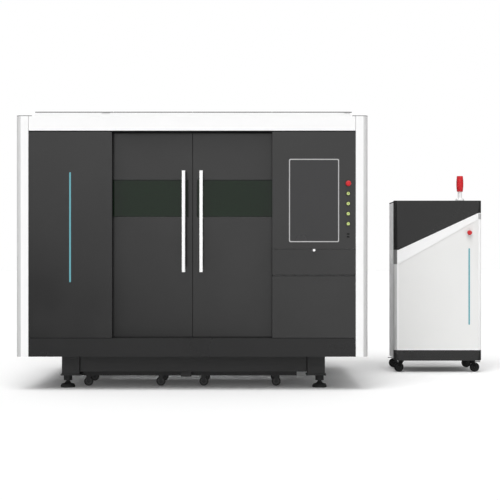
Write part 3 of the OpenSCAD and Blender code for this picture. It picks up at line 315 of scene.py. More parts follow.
def zoned(source, name, color, zones, rough=None):
    """A copy of a material that takes another colour inside boxes of axis limits, in metres."""
    material = source.copy()
    material.name = name
    tree = material.node_tree
    shader = tree.nodes["Principled BSDF"]
    coords = tree.nodes.new("ShaderNodeTexCoord")
    split = tree.nodes.new("ShaderNodeSeparateXYZ")
    tree.links.new(coords.outputs["Object"], split.inputs[0])
    inside = None
    for zone in zones:
        here = None
        for axis, low, high in zone:
            above = math_node(tree, "GREATER_THAN", split.outputs[axis], low)
            below = math_node(tree, "LESS_THAN", split.outputs[axis], high)
            both = math_node(tree, "MULTIPLY", above, below)
            here = both if here is None else math_node(tree, "MULTIPLY", here, both)
        inside = here if inside is None else math_node(tree, "MAXIMUM", inside, here)
    mix = tree.nodes.new("ShaderNodeMix")
    mix.data_type = "RGBA"
    tree.links.new(inside, mix.inputs["Factor"])
    tree.links.new(shader.inputs["Base Color"].links[0].from_socket, mix.inputs["A"])
    mix.inputs["B"].default_value = list(color) + [1]
    tree.links.new(mix.outputs["Result"], shader.inputs["Base Color"])
    if rough is not None:
        old = shader.inputs["Roughness"].links[0].from_socket
        tree.links.new(mix_value(tree, inside, old, rough), shader.inputs["Roughness"])
    return material


# Roof: painted shade, a thin dark grey line along the top front edge of its raised middle and
# along the edges above the columns, where shade falls
COLUMN_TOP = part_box("left_column")[1].z
ROOF_EDGE = 0.0047
ROOF_EDGE_DEPTH = 0.037
ROOF_LIP = 0.0074
ROOF_INSET = 0.115
roof_low, roof_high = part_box("roof_cover")
lip_shade_zones = [[("Z", roof_high.z - ROOF_LIP, FAR), ("Y", -FAR, roof_low.y + ROOF_INSET + MARGIN)]]
edge_shade_zones = [[("Z", COLUMN_TOP - MARGIN, COLUMN_TOP + ROOF_EDGE),
               ("Y", -FAR, FRONT_Y + ROOF_EDGE_DEPTH), ("X", low, high)]
              for low, high in ((-FAR, roof_low.x + ROOF_INSET), (roof_high.x - ROOF_INSET, FAR))]
LIP_SHADE_PAINT = zoned(WHITE, "roof_lip_shade", grey(0.15), lip_shade_zones)
paint("roof_cover", zoned(LIP_SHADE_PAINT, "roof_shade_paint", grey(0.13), edge_shade_zones))

# Columns: painted shade, a darker strip on the rounded outer edge, where it turns away from the
# light
CORNER_W = 0.033
CORNER_D = 0.036
corner_shade_zones = [[("X", low, high), ("Y", -FAR, FRONT_Y + CORNER_D)]
                for low, high in ((-FAR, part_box("left_column")[0].x + CORNER_W),
                                  (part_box("right_column")[1].x - CORNER_W, FAR))]
CORNER_SHADE_PAINT = zoned(WHITE, "corner_shade_paint", grey(0.58), corner_shade_zones)
for name in ("left_column", "right_column"):
    paint(name, CORNER_SHADE_PAINT)

# Front panels: painted shade in near black on the returns of the jambs, inside the ports and on
# the skirt's sill, where these sit in shade; the flap's hinge and its white knob
PANEL_BACK = FRONT_Y + 0.0302
HINGE_Z = 0.850
HINGE_HALF = 0.0051
HINGE_TONE = grey(0.018)
HINGE_ROUGH = 0.45
KNOB_FOOT = FRONT_Y - 0.0006
KNOB_REACH = 0.05
SKIRT_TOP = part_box("front_skirt")[1].z
SILL_EDGE = 0.0006
jamb_shade_zones = [[("Y", PANEL_BACK, FAR)]]
port_shade_zones = [[("Y", FRONT_Y + MARGIN, FAR), ("X", x_at(1134), x_at(1162)),
               ("Z", z_at(1124), z_at(1166))]]
hinge_zones = [[("Z", HINGE_Z - HINGE_HALF, HINGE_Z + HINGE_HALF)]]
knob_zones = [[("Y", -FAR, KNOB_FOOT), ("Z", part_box("keyboard_flap")[1].z - KNOB_REACH, FAR)]]
sill_shade_zones = [[("Z", SKIRT_TOP - SILL_EDGE, FAR)]]
DARK_JAMB_SHADE = zoned(DARK, "dark_paint_jamb_shade", SHADE_BLACK, jamb_shade_zones, rough=0.8)
FLAP_PAINT = zoned(DARK, "flap_paint", grey(0.88), knob_zones)
paint("left_front_panel", DARK_JAMB_SHADE)
paint("console_panel", zoned(DARK_JAMB_SHADE, "dark_paint_port_shade", SHADE_BLACK, port_shade_zones, rough=0.8))
paint("lower_console_panel",
      zoned(DARK_JAMB_SHADE, "dark_paint_hinge", HINGE_TONE, hinge_zones, HINGE_ROUGH))
paint("keyboard_flap", zoned(FLAP_PAINT, "flap_paint_hinge", HINGE_TONE, hinge_zones, HINGE_ROUGH))
paint("front_skirt", zoned(SKIRT, "skirt_paint_sill_shade", SHADE_BLACK, sill_shade_zones, rough=1.0))

# Cabinet: the sunk grey inlay; painted shade on the left edge of its front and of its top cover;
# on its left side a painted lighter band below the cover and a painted darker foot
COVER_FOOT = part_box("cabinet_top_cover")[0].z
SINK = 0.004
FLAT_LEFT = 0.0365
FLAT_RIGHT = 0.0265
EDGE_WIDTH = 0.027
BAND = 0.12
SIDE_SHEET = 0.002
shell_low, shell_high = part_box("cabinet_front_panel")
inlay_zones = [[("Y", shell_low.y + SINK / 2, FAR),
                ("X", shell_low.x + FLAT_LEFT, shell_high.x - FLAT_RIGHT)]]
# Painted shade on the rounded left edge of the front shell and its cover, darkest in the band
# below the cover
shell_shade_edge = ("X", -FAR, shell_low.x + EDGE_WIDTH)
trim_shade_zones = [[shell_shade_edge, ("Z", COVER_FOOT - BAND, FAR)]]
INLAY_PAINT = zoned(WHITE, "inlay_paint", (0.76, 0.76, 0.75), inlay_zones)
EDGE_SHADE_PAINT = zoned(INLAY_PAINT, "shell_edge_shade_paint", grey(0.50), [[shell_shade_edge]])
paint("cabinet_front_panel", zoned(EDGE_SHADE_PAINT, "shell_trim_shade_paint", grey(0.14), trim_shade_zones))
paint("cabinet_top_cover",
      zoned(BLACK, "cover_edge_shade_paint", SHADE_BLACK, [[shell_shade_edge]], rough=0.85))
left_face = ("X", -FAR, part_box("cabinet_body")[0].x + SIDE_SHEET)
# Painted light and shade on the left side: a lighter band below the cover, a darker foot below it
light_band_zones = [[("Z", COVER_FOOT - BAND, COVER_FOOT), left_face]]
shade_foot_zones = [[("Z", -FAR, COVER_FOOT - BAND), left_face]]
SIDE_LIGHT_BAND = zoned(GREY, "grey_paint_light_band", grey(0.98), light_band_zones)
paint("cabinet_body", zoned(SIDE_LIGHT_BAND, "grey_paint_shade_foot", grey(0.86), shade_foot_zones))

# Rear wall: the grey exhaust spigot and the brass fittings on the supply plate
SPIGOT_Y = REAR_Y + 0.0005
SUPPLY_Y = REAR_Y + 0.0083
duct_zones = [[("Y", SPIGOT_Y, FAR), ("X", x_at(500), x_at(800))]]
fitting_zones = [[("Y", SUPPLY_Y, FAR), ("X", x_at(-960), x_at(-680))]]
DUCT_PAINT = zoned(WHITE, "rear_paint_duct", (0.40, 0.41, 0.42), duct_zones, rough=0.35)
paint("rear_panel", zoned(DUCT_PAINT, "rear_paint", (0.56, 0.42, 0.20), fitting_zones, rough=0.3))

# Doors: painted shade, the lower guide deep in the doors' groove is near black
GUIDE_TOP = 0.50
guide_shade_zones = [[("Z", -FAR, GUIDE_TOP)]]
paint("door_tracks", zoned(STEEL, "track_steel_shade", grey(0.010), guide_shade_zones, rough=0.7))

# Motion system: copper nozzle and pale ring of the head, bright rails, dark drives
head_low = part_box("cutting_head")[0]
NOZZLE_TOP = head_low.z + 0.020
RING_TOP = head_low.z + 0.031
COPPER = zoned(ALUMINIUM, "head_metal", (0.72, 0.34, 0.18), [[("Z", -FAR, NOZZLE_TOP)]])
paint("cutting_head",
      zoned(COPPER, "head_metal_ring", (0.80, 0.78, 0.74), [[("Z", NOZZLE_TOP, RING_TOP)]]))
SLAT_RISE = 0.020
RAIL_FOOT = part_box("slat_bed")[1].z - SLAT_RISE + 0.0002
paint("bed_frame",
      zoned(BED, "frame_paint_rails", (0.42, 0.42, 0.43), [[("Z", RAIL_FOOT, FAR)]], rough=0.35))
DRIVE = 0.0705
gantry_low, gantry_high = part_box("gantry_beam")
drive_zones = [[("X", -FAR, gantry_low.x + DRIVE)], [("X", gantry_high.x - DRIVE, FAR)]]
paint("gantry_beam", zoned(STEEL, "gantry_metal", (0.03, 0.03, 0.032), drive_zones, rough=0.45))


# Softened edges of the solids

HEAVY_EDGE = 0.0016
SHEET_EDGE = 0.0012
FINE_EDGE = 0.0008
WELD_DISTANCE = 0.00001
SHARP_ANGLE = math.radians(40)


def soften(name, width):
    """Rounds a solid's sharp edges for the eye; its own vertices stay as they are."""
    solid = nodes[name]
    weld = solid.modifiers.new("weld", "WELD")
    weld.merge_threshold = WELD_DISTANCE
    bevel = solid.modifiers.new("edges", "BEVEL")
    bevel.width = width
    bevel.segments = 2
    bevel.limit_method = "ANGLE"
    bevel.angle_limit = SHARP_ANGLE
    bevel.use_clamp_overlap = True
    bevel.harden_normals = True


for name in ("left_column", "right_column", "header_beam", "left_handle", "right_handle"):
    soften(name, HEAVY_EDGE)
for name in ("left_front_panel", "console_panel", "lower_console_panel", "keyboard_flap",
             "left_door", "right_door", "cabinet_top_cover", "cabinet_front_panel",
             "cabinet_plinth", "cabinet_body", "left_side_panel", "right_side_panel",
             "roof_cover"):
    soften(name, SHEET_EDGE)
for name in ("bed_frame", "left_cart", "right_cart", "head_carriage", "cutting_head"):
    soften(name, FINE_EDGE)


# Forms of the detail pieces

CREASE = math.radians(35)


def add_box(bm, low, high, bevel=0.0, segments=2):
    """A box between two corners, its edges rounded."""
    low, high = Vector(low), Vector(high)
    made = bmesh.ops.create_cube(bm, size=1.0)["verts"]
    for vert in made:
        vert.co = Vector(((low[i] + high[i]) / 2 + vert.co[i] * (high[i] - low[i]))
                         for i in range(3))
    if bevel > 0:
        edges = list({edge for vert in made for edge in vert.link_edges})
        bmesh.ops.bevel(bm, geom=edges, offset=bevel, segments=segments, affect="EDGES",
                        profile=0.5)


def add_turned(bm, profile, origin, axis, steps=32):
    """A turned form: radius and height pairs about an axis through the origin."""
    turn = Vector((0, 0, 1)).rotation_difference(Vector(axis)).to_matrix()
    rings = []
    for radius, height in profile:
        if radius == 0:
            rings.append([bm.verts.new(Vector(origin) + turn @ Vector((0, 0, height)))])
            continue
        ring = []
        for i in range(steps):
            angle = 2 * math.pi * i / steps
            spoke = Vector((radius * math.cos(angle), radius * math.sin(angle), height))
            ring.append(bm.verts.new(Vector(origin) + turn @ spoke))
        rings.append(ring)
    for first, second in zip(rings, rings[1:]):
        for i in range(steps):
            j = (i + 1) % steps
            corners = [first[i % len(first)], first[j % len(first)],
                       second[j % len(second)], second[i % len(second)]]
            unique = list(dict.fromkeys(corners))
            if len(unique) > 2:
                bm.faces.new(unique)


def add_bolt(bm, place, axis, radius, height):
    """A six-sided bolt head on a washer, with a chamfered crown."""
    washer, foot = radius * 1.35, height * 0.2
    add_turned(bm, [(0, 0), (washer, 0), (washer, foot), (0, foot)], place, axis, steps=20)
    add_turned(bm, [(0, foot), (radius, foot), (radius, height * 0.85), (radius * 0.86, height),
                    (0, height)], place, axis, steps=6)


def add_screw(bm, place, axis, radius, height):
    """A round head with a socket."""
    floor = height * 0.4
    add_turned(bm, [(0, 0), (radius, 0), (radius, height * 0.45), (radius * 0.8, height * 0.9),
                    (radius * 0.5, height), (radius * 0.45, floor), (0, floor)],
               place, axis, steps=12)


def piece(name, body, material, build, smooth=True):
    """A detail piece that rides on a body."""
    bm = bmesh.new()
    build(bm)
    bmesh.ops.recalc_face_normals(bm, faces=bm.faces)
    mesh = bpy.data.meshes.new(name)
    bm.to_mesh(mesh)
    bm.free()
    if smooth:
        for polygon in mesh.polygons:
            polygon.use_smooth = True
        mesh.set_sharp_from_angle(angle=CREASE)
    made = bpy.data.objects.new(name, mesh)
    bpy.context.collection.objects.link(made)
    mesh.materials.append(material)
    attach(made, body)


# Detail pieces of the front and the doors

def header_seal(bm):
    """Rubber between the front panels and the header, from column to column."""
    gap, top_gap, front, back = 0.0004, 0.0003, FRONT_Y + 0.004, FRONT_Y + 0.086
    low = (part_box("left_column")[1].x + gap, front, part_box("left_front_panel")[1].z + gap)
    high = (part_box("right_column")[0].x - gap, back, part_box("header_beam")[0].z - top_gap)
    add_box(bm, low, high, bevel=0.0015)


def window_gasket(name):
    """A raised rubber frame on the edge of a window."""
    def build(bm):
        low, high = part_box(name)
        face, edge = low.y - 0.0012, 0.004
        for x0, x1, z0, z1 in ((low.x, high.x, low.z, low.z + edge),
                               (low.x, high.x, high.z - edge, high.z),
                               (low.x, low.x + edge, low.z, high.z),
                               (high.x - edge, high.x, low.z, high.z)):
            add_box(bm, (x0, face, z0), (x1, low.y, z1), bevel=0.0004)
    return build


def door_brush(name):
    """A brush that closes the gap between a door and the sill."""
    def build(bm):
        low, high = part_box(name)
        front, thick, inset = y_at(107), 0.005, 0.0003
        foot, top = SKIRT_TOP + 0.0006, SKIRT_TOP + 0.0046
        add_box(bm, (low.x + inset, front, foot), (high.x - inset, front + thick, top),
                bevel=0.0004)
    return build


def door_seal(bm):
    """A rubber lip on the left door's edge that closes the seam of the doors."""
    edge, front, width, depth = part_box("left_door")[1].x, y_at(113), 0.0026, 0.018
    foot, top = z_at(402), z_at(1963)
    add_box(bm, (edge, front, foot), (edge + width, front + depth, top), bevel=0.0005)


def handle_shadow_strip(name, width):
    """A near-black strip along the right side of a door handle, a painted shadow of the handle
    built as a grip.
    """
    def build(bm):
        low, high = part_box(name)
        front, back = low.y + 0.002, low.y + 0.020
        foot, top = low.z + 0.040, high.z - 0.006
        add_box(bm, (high.x, front, foot), (high.x + width, back, top), bevel=0.0014)
    return build


def button_rim(name):
    """The dark rim of a push button's cap."""
    outer, inner = 0.01395, 0.0120
    profile = [(outer, 0), (outer, 0.0014), (0.0134, 0.0022), (0.0122, 0.0022), (inner, 0.0014),
               (inner, 0), (outer, 0)]

    def build(bm):
        low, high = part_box(name)
        place = ((low.x + high.x) / 2, low.y + 0.0020, (low.z + high.z) / 2)
        add_turned(bm, profile, place, (0, -1, 0), steps=40)
    return build


def button_mark(name):
    """The sunk lens in the middle of a push button's cap."""
    profile = [(0.0036, 0), (0.0036, 0.0005), (0.0030, 0.0007), (0, 0.0009)]

    def build(bm):
        low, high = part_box(name)
        place = ((low.x + high.x) / 2, low.y + 0.0004, (low.z + high.z) / 2)
        add_turned(bm, profile, place, (0, -1, 0), steps=24)
    return build


def port_linings(bm):
    """Tongues in the two ports below the buttons."""
    half, thick, front, back = 0.0062, 0.0012, 0.0020, 0.0118
    for z in (1155, 1134):
        middle = at(1148, 0, z)
        add_box(bm, middle + Vector((-half, front, -thick)), middle + Vector((half, back, thick)),
                bevel=0.0004)


def console_pocket(bm):
    """A folded sheet box behind the keyboard flap, open to the front."""
    x0, x1, z0, z1, back, sheet = 590.3, 1203.4, 846.2, 1043.6, 97.5, 1.5
    cheek, shelf = 24, 31
    add_box(bm, at(x0, back - sheet, z0), at(x1, back, z1))
    add_box(bm, at(x0, cheek, z0), at(x0 + sheet, back - sheet, z1))
    add_box(bm, at(x1 - sheet, cheek, z0), at(x1, back - sheet, z1))
    add_box(bm, at(x0 + sheet, shelf, z0), at(x1 - sheet, back - sheet, z0 + sheet))
    add_box(bm, at(x0 + sheet, shelf, z1 - sheet), at(x1 - sheet, back - sheet, z1))


def roof_clips(bm):
    """Two clips at the front edge of the roof's raised middle."""
    face, half, thick = FRONT_Y + ROOF_INSET, 0.030, 0.004
    foot, top = roof_high.z - 0.009, roof_high.z - 0.0005
    for x in (-644, 1152):
        middle = x_at(x)
        add_box(bm, (middle - half, face - thick, foot), (middle + half, face + thick, top),
                bevel=0.001)


# Detail pieces of the wheels and the carts

def hub_caps(name):
    """Dished caps with a raised ring in both faces of a wheel."""
    def build(bm):
        low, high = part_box(name)
        centre = (low + high) / 2
        bore, tyre, sunk = 0.0128, 0.0095, 0.004
        outer = (high.z - low.z) / 2 - tyre
        profile = [(bore, 0), (outer, 0), (outer, 0.0022), (outer - 0.003, 0.0034),
                   (outer - 0.006, 0.0014), (0.016, 0.0018), (bore, 0.0032), (bore, 0)]
        for side in (-1, 1):
            face = centre.y + side * ((high.y - low.y) / 2 - sunk)
            add_turned(bm, profile, (centre.x, face, centre.z), (0, side, 0), steps=32)
    return build


def axle_bolts(name):
    """Bolt heads of a caster's axle, on both sides of its fork."""
    def build(bm):
        low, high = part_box(name.replace("fork", "wheel"))
        centre = (low + high) / 2
        reach = (high.y - low.y) / 2 + 0.005
        for side in (-1, 1):
            add_bolt(bm, (centre.x, centre.y + side * reach, centre.z), (0, side, 0),
                     radius=0.0065, height=0.004)
    return build


def cart_pull(name, side):
    """A bar on two posts as the pull on a cart's outer end."""
    post = [(0.010, 0), (0.010, 0.003), (0.006, 0.004), (0.006, 0.038), (0, 0.038)]
    bar = [(0, -0.082), (0.005, -0.082), (0.007, -0.080), (0.007, 0.080), (0.005, 0.082),
           (0, 0.082)]

    def build(bm):
        low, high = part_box(name)
        face = low.x if side < 0 else high.x
        middle, z, half, reach = y_at(680), z_at(168), 0.070, 0.036
        for y in (middle - half, middle + half):
            add_turned(bm, post, (face, y, z), (side, 0, 0), steps=16)
        add_turned(bm, bar, (face + side * reach, middle, z), (0, 1, 0), steps=20)
    return build


# Detail pieces of the walls and the cabinet: hatches and louvre slots as cut in the solids, in mm

HATCH_FOOT, HATCH_TOP = 448, 1872
SIDE_HATCHES = ((280, 1130), (1220, 2070))
REAR_HATCH = (-380, 380)
CABINET_FOOT = 189
LOUVRE_START, LOUVRE_PITCH, LOUVRE_HALF = 90, 26, 209
WALL_LOUVRES, CABINET_LOUVRES = 9, 12

# Latches, blades and screws (radius and height of a head), in metres
SCREW_INSET = 0.025
LATCH_INSET, LATCH_RISE = 0.070, 0.620
LATCH_HALF, LATCH_BELOW, LATCH_ABOVE = 0.013, 0.052, 0.030
LATCH_BACK, LATCH_FACE, LATCH_ROUND = 0.0115, 0.002, 0.003
BLADE_BACK, BLADE_FACE = 0.0058, 0.0046
BLADE_BELOW, BLADE_ABOVE, BLADE_ROUND = 0.0006, 0.0074, 0.0003
WALL_SCREW = (0.006, 0.003)
PLATE_SCREW = (0.005, 0.0025)


def wall_face(side):
    """The outer face of the left (-1) or right (1) side wall."""
    low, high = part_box("left_side_panel" if side < 0 else "right_side_panel")
    return low.x if side < 0 else high.x


def add_blades(bm, low, high, foot, count):
    """Blades in a column of louvre slots, between two points in plan."""
    for i in range(count):
        z = z_at(foot + LOUVRE_START + LOUVRE_PITCH * i)
        add_box(bm, (*low, z + BLADE_BELOW), (*high, z + BLADE_ABOVE), BLADE_ROUND)


def hatch_fittings(side):
    """Corner screws and a latch paddle on each service hatch of a side wall."""
    def build(bm):
        face = wall_face(side)
        z0, z1 = z_at(HATCH_FOOT), z_at(HATCH_TOP)
        inner, outer = sorted((face - side * LATCH_BACK, face - side * LATCH_FACE))
        for y0, y1 in SIDE_HATCHES:
            front, back = y_at(y0), y_at(y1)
            for y in (front + SCREW_INSET, back - SCREW_INSET):
                for z in (z0 + SCREW_INSET, z1 - SCREW_INSET):
                    add_screw(bm, (face, y, z), (side, 0, 0), *WALL_SCREW)
            latch_y, latch_z = back - LATCH_INSET, z0 + LATCH_RISE
            add_box(bm, (inner, latch_y - LATCH_HALF, latch_z - LATCH_BELOW),
                    (outer, latch_y + LATCH_HALF, latch_z + LATCH_ABOVE), LATCH_ROUND)
    return build


def hatch_louvres(side):
    """Blades in the louvre slots of a side wall."""
    def build(bm):
        face = wall_face(side)
        inner, outer = sorted((face - side * BLADE_BACK, face - side * BLADE_FACE))
        for y0, y1 in SIDE_HATCHES:
            middle = (y0 + y1) / 2
            add_blades(bm, (inner, y_at(middle - LOUVRE_HALF)),
                       (outer, y_at(middle + LOUVRE_HALF)), HATCH_FOOT, WALL_LOUVRES)
    return build


def rear_fittings(bm):
    """Screws and the latch paddle of the rear hatch, and the screws of the supply plate."""
    z0, z1 = z_at(HATCH_FOOT), z_at(HATCH_TOP)
    left, right = (x_at(x) for x in REAR_HATCH)
    for x in (left + SCREW_INSET, right - SCREW_INSET):
        for z in (z0 + SCREW_INSET, (z0 + z1) / 2, z1 - SCREW_INSET):
            add_screw(bm, (x, REAR_Y, z), (0, 1, 0), *WALL_SCREW)
    latch = Vector((left + LATCH_INSET, REAR_Y, z0 + LATCH_RISE))
    add_box(bm, latch + Vector((-LATCH_HALF, -LATCH_BACK, -LATCH_BELOW)),
            latch + Vector((LATCH_HALF, -LATCH_FACE, LATCH_ABOVE)), LATCH_ROUND)
    plate_x, plate_y, plate_z = -820, 2208, 640
    for dx in (-118, 118):
        for dz in (-63, 63):
            add_screw(bm, at(plate_x + dx, plate_y, plate_z + dz), (0, 1, 0), *PLATE_SCREW)


def rear_louvres(bm):
    """Blades in the louvre slots of the rear hatch."""
    add_blades(bm, (x_at(-LOUVRE_HALF), REAR_Y - BLADE_BACK),
               (x_at(LOUVRE_HALF), REAR_Y - BLADE_FACE), HATCH_FOOT, WALL_LOUVRES)


def spigot_bolts(bm):
    """A circle of bolts in the flange of the exhaust spigot."""
    centre, circle, count = at(647, 2204, 1500), 0.113, 8
    for i in range(count):
        angle = math.pi * (2 * i + 1) / count
        spoke = Vector((math.cos(angle), 0, math.sin(angle)))
        add_bolt(bm, centre + spoke * circle, (0, 1, 0), radius=0.0055, height=0.005)


def cabinet_louvres(bm):
    """Blades in the louvre slots of the cabinet's rear."""
    low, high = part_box("cabinet_body")
    middle, half = (low.x + high.x) / 2, 0.189
    add_blades(bm, (middle - half, high.y - BLADE_BACK), (middle + half, high.y - BLADE_FACE),
               CABINET_FOOT, CABINET_LOUVRES)


def cabinet_screws(bm):
    """Screws along both edges of the cabinet's rear plate."""
    low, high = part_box("cabinet_body")
    inset = 62
    for x in (low.x + inset / 1000, high.x - inset / 1000):
        for z in (z_at(CABINET_FOOT + inset), z_at(800), high.z - inset / 1000):
            add_screw(bm, (x, high.y, z), (0, 1, 0), *PLATE_SCREW)


def cabinet_catch(bm):
    """A catch that follows the front shell's rounded right edge."""
    radius, inset, rise = 0.032, 0.0005, 0.0014
    start, sweep, steps = 8, 62, 10
    middle = Vector((shell_high.x - radius, shell_low.y + radius))
    z0, z1, slope = shell_high.z - 0.052, shell_high.z - 0.004, 0.001
    rows = []
    for i in range(steps + 1):
        angle = math.radians(start + sweep * i / steps)
        way = Vector((math.sin(angle), -math.cos(angle)))
        inner, outer = middle + way * (radius - inset), middle + way * (radius + rise)
        rows.append([bm.verts.new((point.x, point.y, z)) for point, z in
                     ((inner, z0), (outer, z0 + slope), (outer, z1 - slope), (inner, z1))])
    for first, second in zip(rows, rows[1:]):
        for i in range(3):
            bm.faces.new((first[i], second[i], second[i + 1], first[i + 1]))


# Detail pieces of the chamber

def rail_screws(bm):
    """Counterbored screws along the gantry's two rails."""
    face, first, pitch, count = 1585, -864, 72, 25
    profile = [(0, 0), (0.0042, 0), (0.0042, 0.0003), (0.0030, 0.0003), (0.0026, -0.0001),
               (0, -0.0001)]
    for z in (716, 828):
        for i in range(count):
            add_turned(bm, profile, at(first + pitch * i, face, z), (0, -1, 0), steps=10)


def chip_guard(bm):
    """A bent sheet from the sill of the doorway up to the bed's front beam."""
    half = 1190
    outline = [(160.6, 382), (160.6, 387.6), (164, 387.6), (247.4, 449), (247.4, 474),
               (249.4, 474), (249.4, 448), (165, 385.6), (162.6, 385.6), (162.6, 382)]
    ends = [[bm.verts.new(at(x, y, z)) for y, z in outline] for x in (-half, half)]
    for i in range(len(outline)):
        j = (i + 1) % len(outline)
        bm.faces.new((ends[0][i], ends[0][j], ends[1][j], ends[1][i]))
    for face in ends:
        bm.faces.new(face)


def head_details(bm):
    """Cover screws, drawer knob and rings on the cutting head."""
    carriage_low, carriage_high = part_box("head_carriage")
    middle, axis_y = (carriage_low.x + carriage_high.x) / 2, y_at(1517.4)
    cover_z = z_at(990)
    for dx in (-0.023, 0.023):
        for dz in (-0.058, 0.058):
            add_screw(bm, (middle + dx, head_low.y, cover_z + dz), (0, -1, 0),
                      radius=0.0032, height=0.0022)
    knob = [(0, 0), (0.004, 0), (0.004, 0.004), (0.008, 0.006), (0.008, 0.013), (0.006, 0.015),
            (0, 0.015)]
    add_turned(bm, knob, (head_low.x, axis_y, z_at(913)), (-1, 0, 0), steps=20)
    for z, radius in ((822, 0.0288), (846, 0.0288), (1124, 0.0226), (1146, 0.0226)):
        inner = radius - 0.004
        ring = [(inner, 0), (radius, 0.001), (radius, 0.005), (inner, 0.006)]
        add_turned(bm, ring, (middle, axis_y, z_at(z)), (0, 0, 1), steps=40)


def chamber_lights(bm):
    """Light bars below the roof, along both sides of the chamber."""
    half, front, back = 0.03, y_at(320), y_at(1900)
    foot, top = COLUMN_TOP - 0.024, COLUMN_TOP - 0.0003
    for side in (-1, 1):
        x = x_at(side * 1120)
        add_box(bm, (x - half, front, foot), (x + half, back, top), bevel=0.006, segments=3)


piece("header_seal", "root", SEAL, header_seal)
for side in ("left", "right"):
    piece(side + "_window_gasket", side + "_door", SEAL,
          window_gasket(side + "_window"))
for side in ("left", "right"):
    piece(side + "_door_brush", side + "_door", SEAL, door_brush(side + "_door"))
piece("left_door_seal", "left_door", SEAL, door_seal)
# Near-black strips that stand for the handles' cast shadows, wider on the left handle
piece("left_handle_shadow_strip", "left_door", SEAL, handle_shadow_strip("left_handle", 0.009))
piece("right_handle_shadow_strip", "right_door", SEAL, handle_shadow_strip("right_handle", 0.003))
for i in range(1, 5):
    wheel, fork, button = "caster_wheel_%d" % i, "caster_fork_%d" % i, "push_button_%d" % i
    piece("caster_hub_%d" % i, wheel, CASTER_HUB, hub_caps(wheel))
    piece("caster_bolts_%d" % i, fork, CASTER_HUB, axle_bolts(fork))
    piece("button_rim_%d" % i, button, COLLAR, button_rim(button))
    piece("button_mark_%d" % i, button, BUTTON_MARK, button_mark(button))
    for side in ("left", "right"):
        wheel = "%s_cart_wheel_%d" % (side, i)
        piece(wheel.replace("wheel", "hub"), wheel, HUB, hub_caps(wheel))
piece("cabinet_catch", "root", BORDER, cabinet_catch)
piece("roof_clips", "root", CLIP, roof_clips)
for side, name in ((-1, "left"), (1, "right")):
    piece(name + "_hatch_fittings", "root", ZINC, hatch_fittings(side))
    piece(name + "_louvres", "root", BLADE, hatch_louvres(side))
    piece(name + "_cart_pull", name + "_cart", ZINC, cart_pull(name + "_cart", side))
piece("rear_fittings", "root", ZINC, rear_fittings)
piece("rear_louvres", "root", BLADE, rear_louvres)
piece("cabinet_louvres", "root", BLADE, cabinet_louvres)
piece("cabinet_screws", "root", ZINC, cabinet_screws)
piece("spigot_bolts", "root", ZINC, spigot_bolts)
piece("rail_screws", "gantry", ZINC, rail_screws)
piece("console_pocket", "root", POCKET, console_pocket, smooth=False)
piece("chip_guard", "root", BED, chip_guard, smooth=False)
piece("head_details", "cutting_head", ZINC, head_details)
piece("port_linings", "root", COLLAR, port_linings)
piece("chamber_lights", "root", DIFFUSER, chamber_lights)


# Stage, light and camera

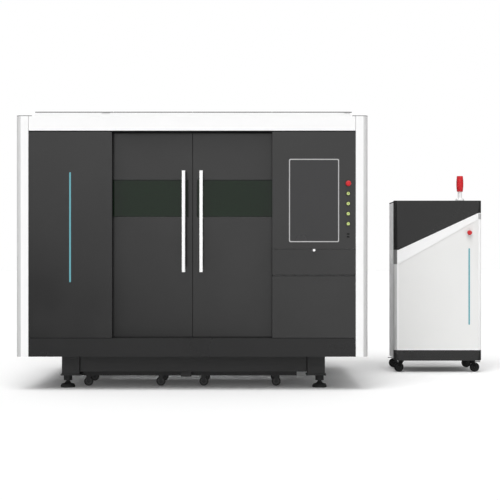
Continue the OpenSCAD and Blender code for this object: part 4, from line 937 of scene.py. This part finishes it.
def make_world():
    """A studio: white behind the object, soft light from the front and above."""
    world = bpy.data.worlds.new("studio")
    bpy.context.scene.world = world
    world.use_nodes = True
    tree = world.node_tree
    background = tree.nodes["Background"]
    background.inputs["Color"].default_value = (1, 1, 1, 1)
    coords = tree.nodes.new("ShaderNodeTexCoord")
    split = tree.nodes.new("ShaderNodeSeparateXYZ")
    tree.links.new(coords.outputs["Generated"], split.inputs[0])
    x, z = split.outputs["X"], split.outputs["Z"]
    forward = math_node(tree, "MULTIPLY", split.outputs["Y"], -1.0)
    # Diffuse light
    front = map_range(tree, forward, 0.1, 0.95)
    top = map_range(tree, z, 0.0, 1.0)
    diffuse = math_node(tree, "MULTIPLY_ADD", front, AMBIENT_FRONT)
    diffuse.node.inputs[2].default_value = AMBIENT_BASE
    diffuse = math_node(tree, "ADD", diffuse, math_node(tree, "MULTIPLY", top, AMBIENT_TOP))
    # What glossy surfaces see: a front wall with a dark band in its lower left, and a ceiling
    wall = map_range(tree, forward, 0.45, 0.95, WALL_SIDES, 1.0)
    rise = map_range(tree, z, -0.25, 0.05, WALL_FOOT, 1.0)
    corner = math_node(tree, "MULTIPLY_ADD", x, -0.6)
    tree.links.new(math_node(tree, "MULTIPLY", z, -1.0), corner.node.inputs[2])
    falls = map_range(tree, corner, 0.055, 0.13, 1.0, 0.0)
    returns = map_range(tree, corner, 0.20, 0.32)
    rise = math_node(tree, "MULTIPLY", rise, math_node(tree, "MAXIMUM", falls, returns))
    ceiling = map_range(tree, z, 0.3, 0.85)
    mirrored = math_node(tree, "MAXIMUM", math_node(tree, "MULTIPLY", wall, rise), ceiling)
    # What the camera sees: white
    path = tree.nodes.new("ShaderNodeLightPath")
    strength = mix_value(tree, path.outputs["Is Glossy Ray"], diffuse, mirrored)
    seen = math_node(tree, "MAXIMUM", path.outputs["Is Camera Ray"],
                     path.outputs["Is Transmission Ray"])
    white = mix_value(tree, seen, strength, 1.0)
    tree.links.new(white, background.inputs["Strength"])


def make_floor():
    """A white floor that glows a little for the camera, so that it meets the white behind it."""
    bpy.ops.mesh.primitive_plane_add(size=FLOOR_SIZE, location=(0, 0, -FLOOR_DROP))
    floor = bpy.context.object
    floor.name = "floor"
    material, tree, shader = new_material("floor")
    shader.inputs["Base Color"].default_value = (*grey(FLOOR_ALBEDO), 1)
    shader.inputs["Roughness"].default_value = 1.0
    shader.inputs["Specular IOR Level"].default_value = 0.0
    shader.inputs["Emission Color"].default_value = (1, 1, 1, 1)
    path = tree.nodes.new("ShaderNodeLightPath")
    glow = math_node(tree, "MULTIPLY", path.outputs["Is Camera Ray"], FLOOR_GLOW)
    tree.links.new(glow, shader.inputs["Emission Strength"])
    floor.data.materials.append(material)
    floor.visible_glossy = False


def make_key():
    """A wide, soft light from above and in front, a little from the left."""
    data = bpy.data.lights.new("key", "SUN")
    data.energy = KEY_STRENGTH
    data.angle = KEY_ANGLE
    lamp = bpy.data.objects.new("key", data)
    bpy.context.collection.objects.link(lamp)
    lamp.rotation_euler = KEY_DIRECTION.to_track_quat("-Z", "Y").to_euler()


def make_camera():
    """The photograph's level view of the front."""
    data = bpy.data.cameras.new("camera")
    data.sensor_fit = "HORIZONTAL"
    data.sensor_width = SENSOR_WIDTH
    data.lens = CAMERA_LENS
    data.clip_end = CAMERA_REACH
    camera = bpy.data.objects.new("camera", data)
    bpy.context.collection.objects.link(camera)
    camera.location = (MACHINE_X + CAMERA_SIDE, FRONT_Y - CAMERA_DISTANCE, CAMERA_HEIGHT)
    camera.rotation_euler = (math.radians(90), 0, 0)
    bpy.context.scene.camera = camera


make_world()
make_floor()
make_key()
make_camera()
bpy.context.scene.view_settings.view_transform = "Standard"
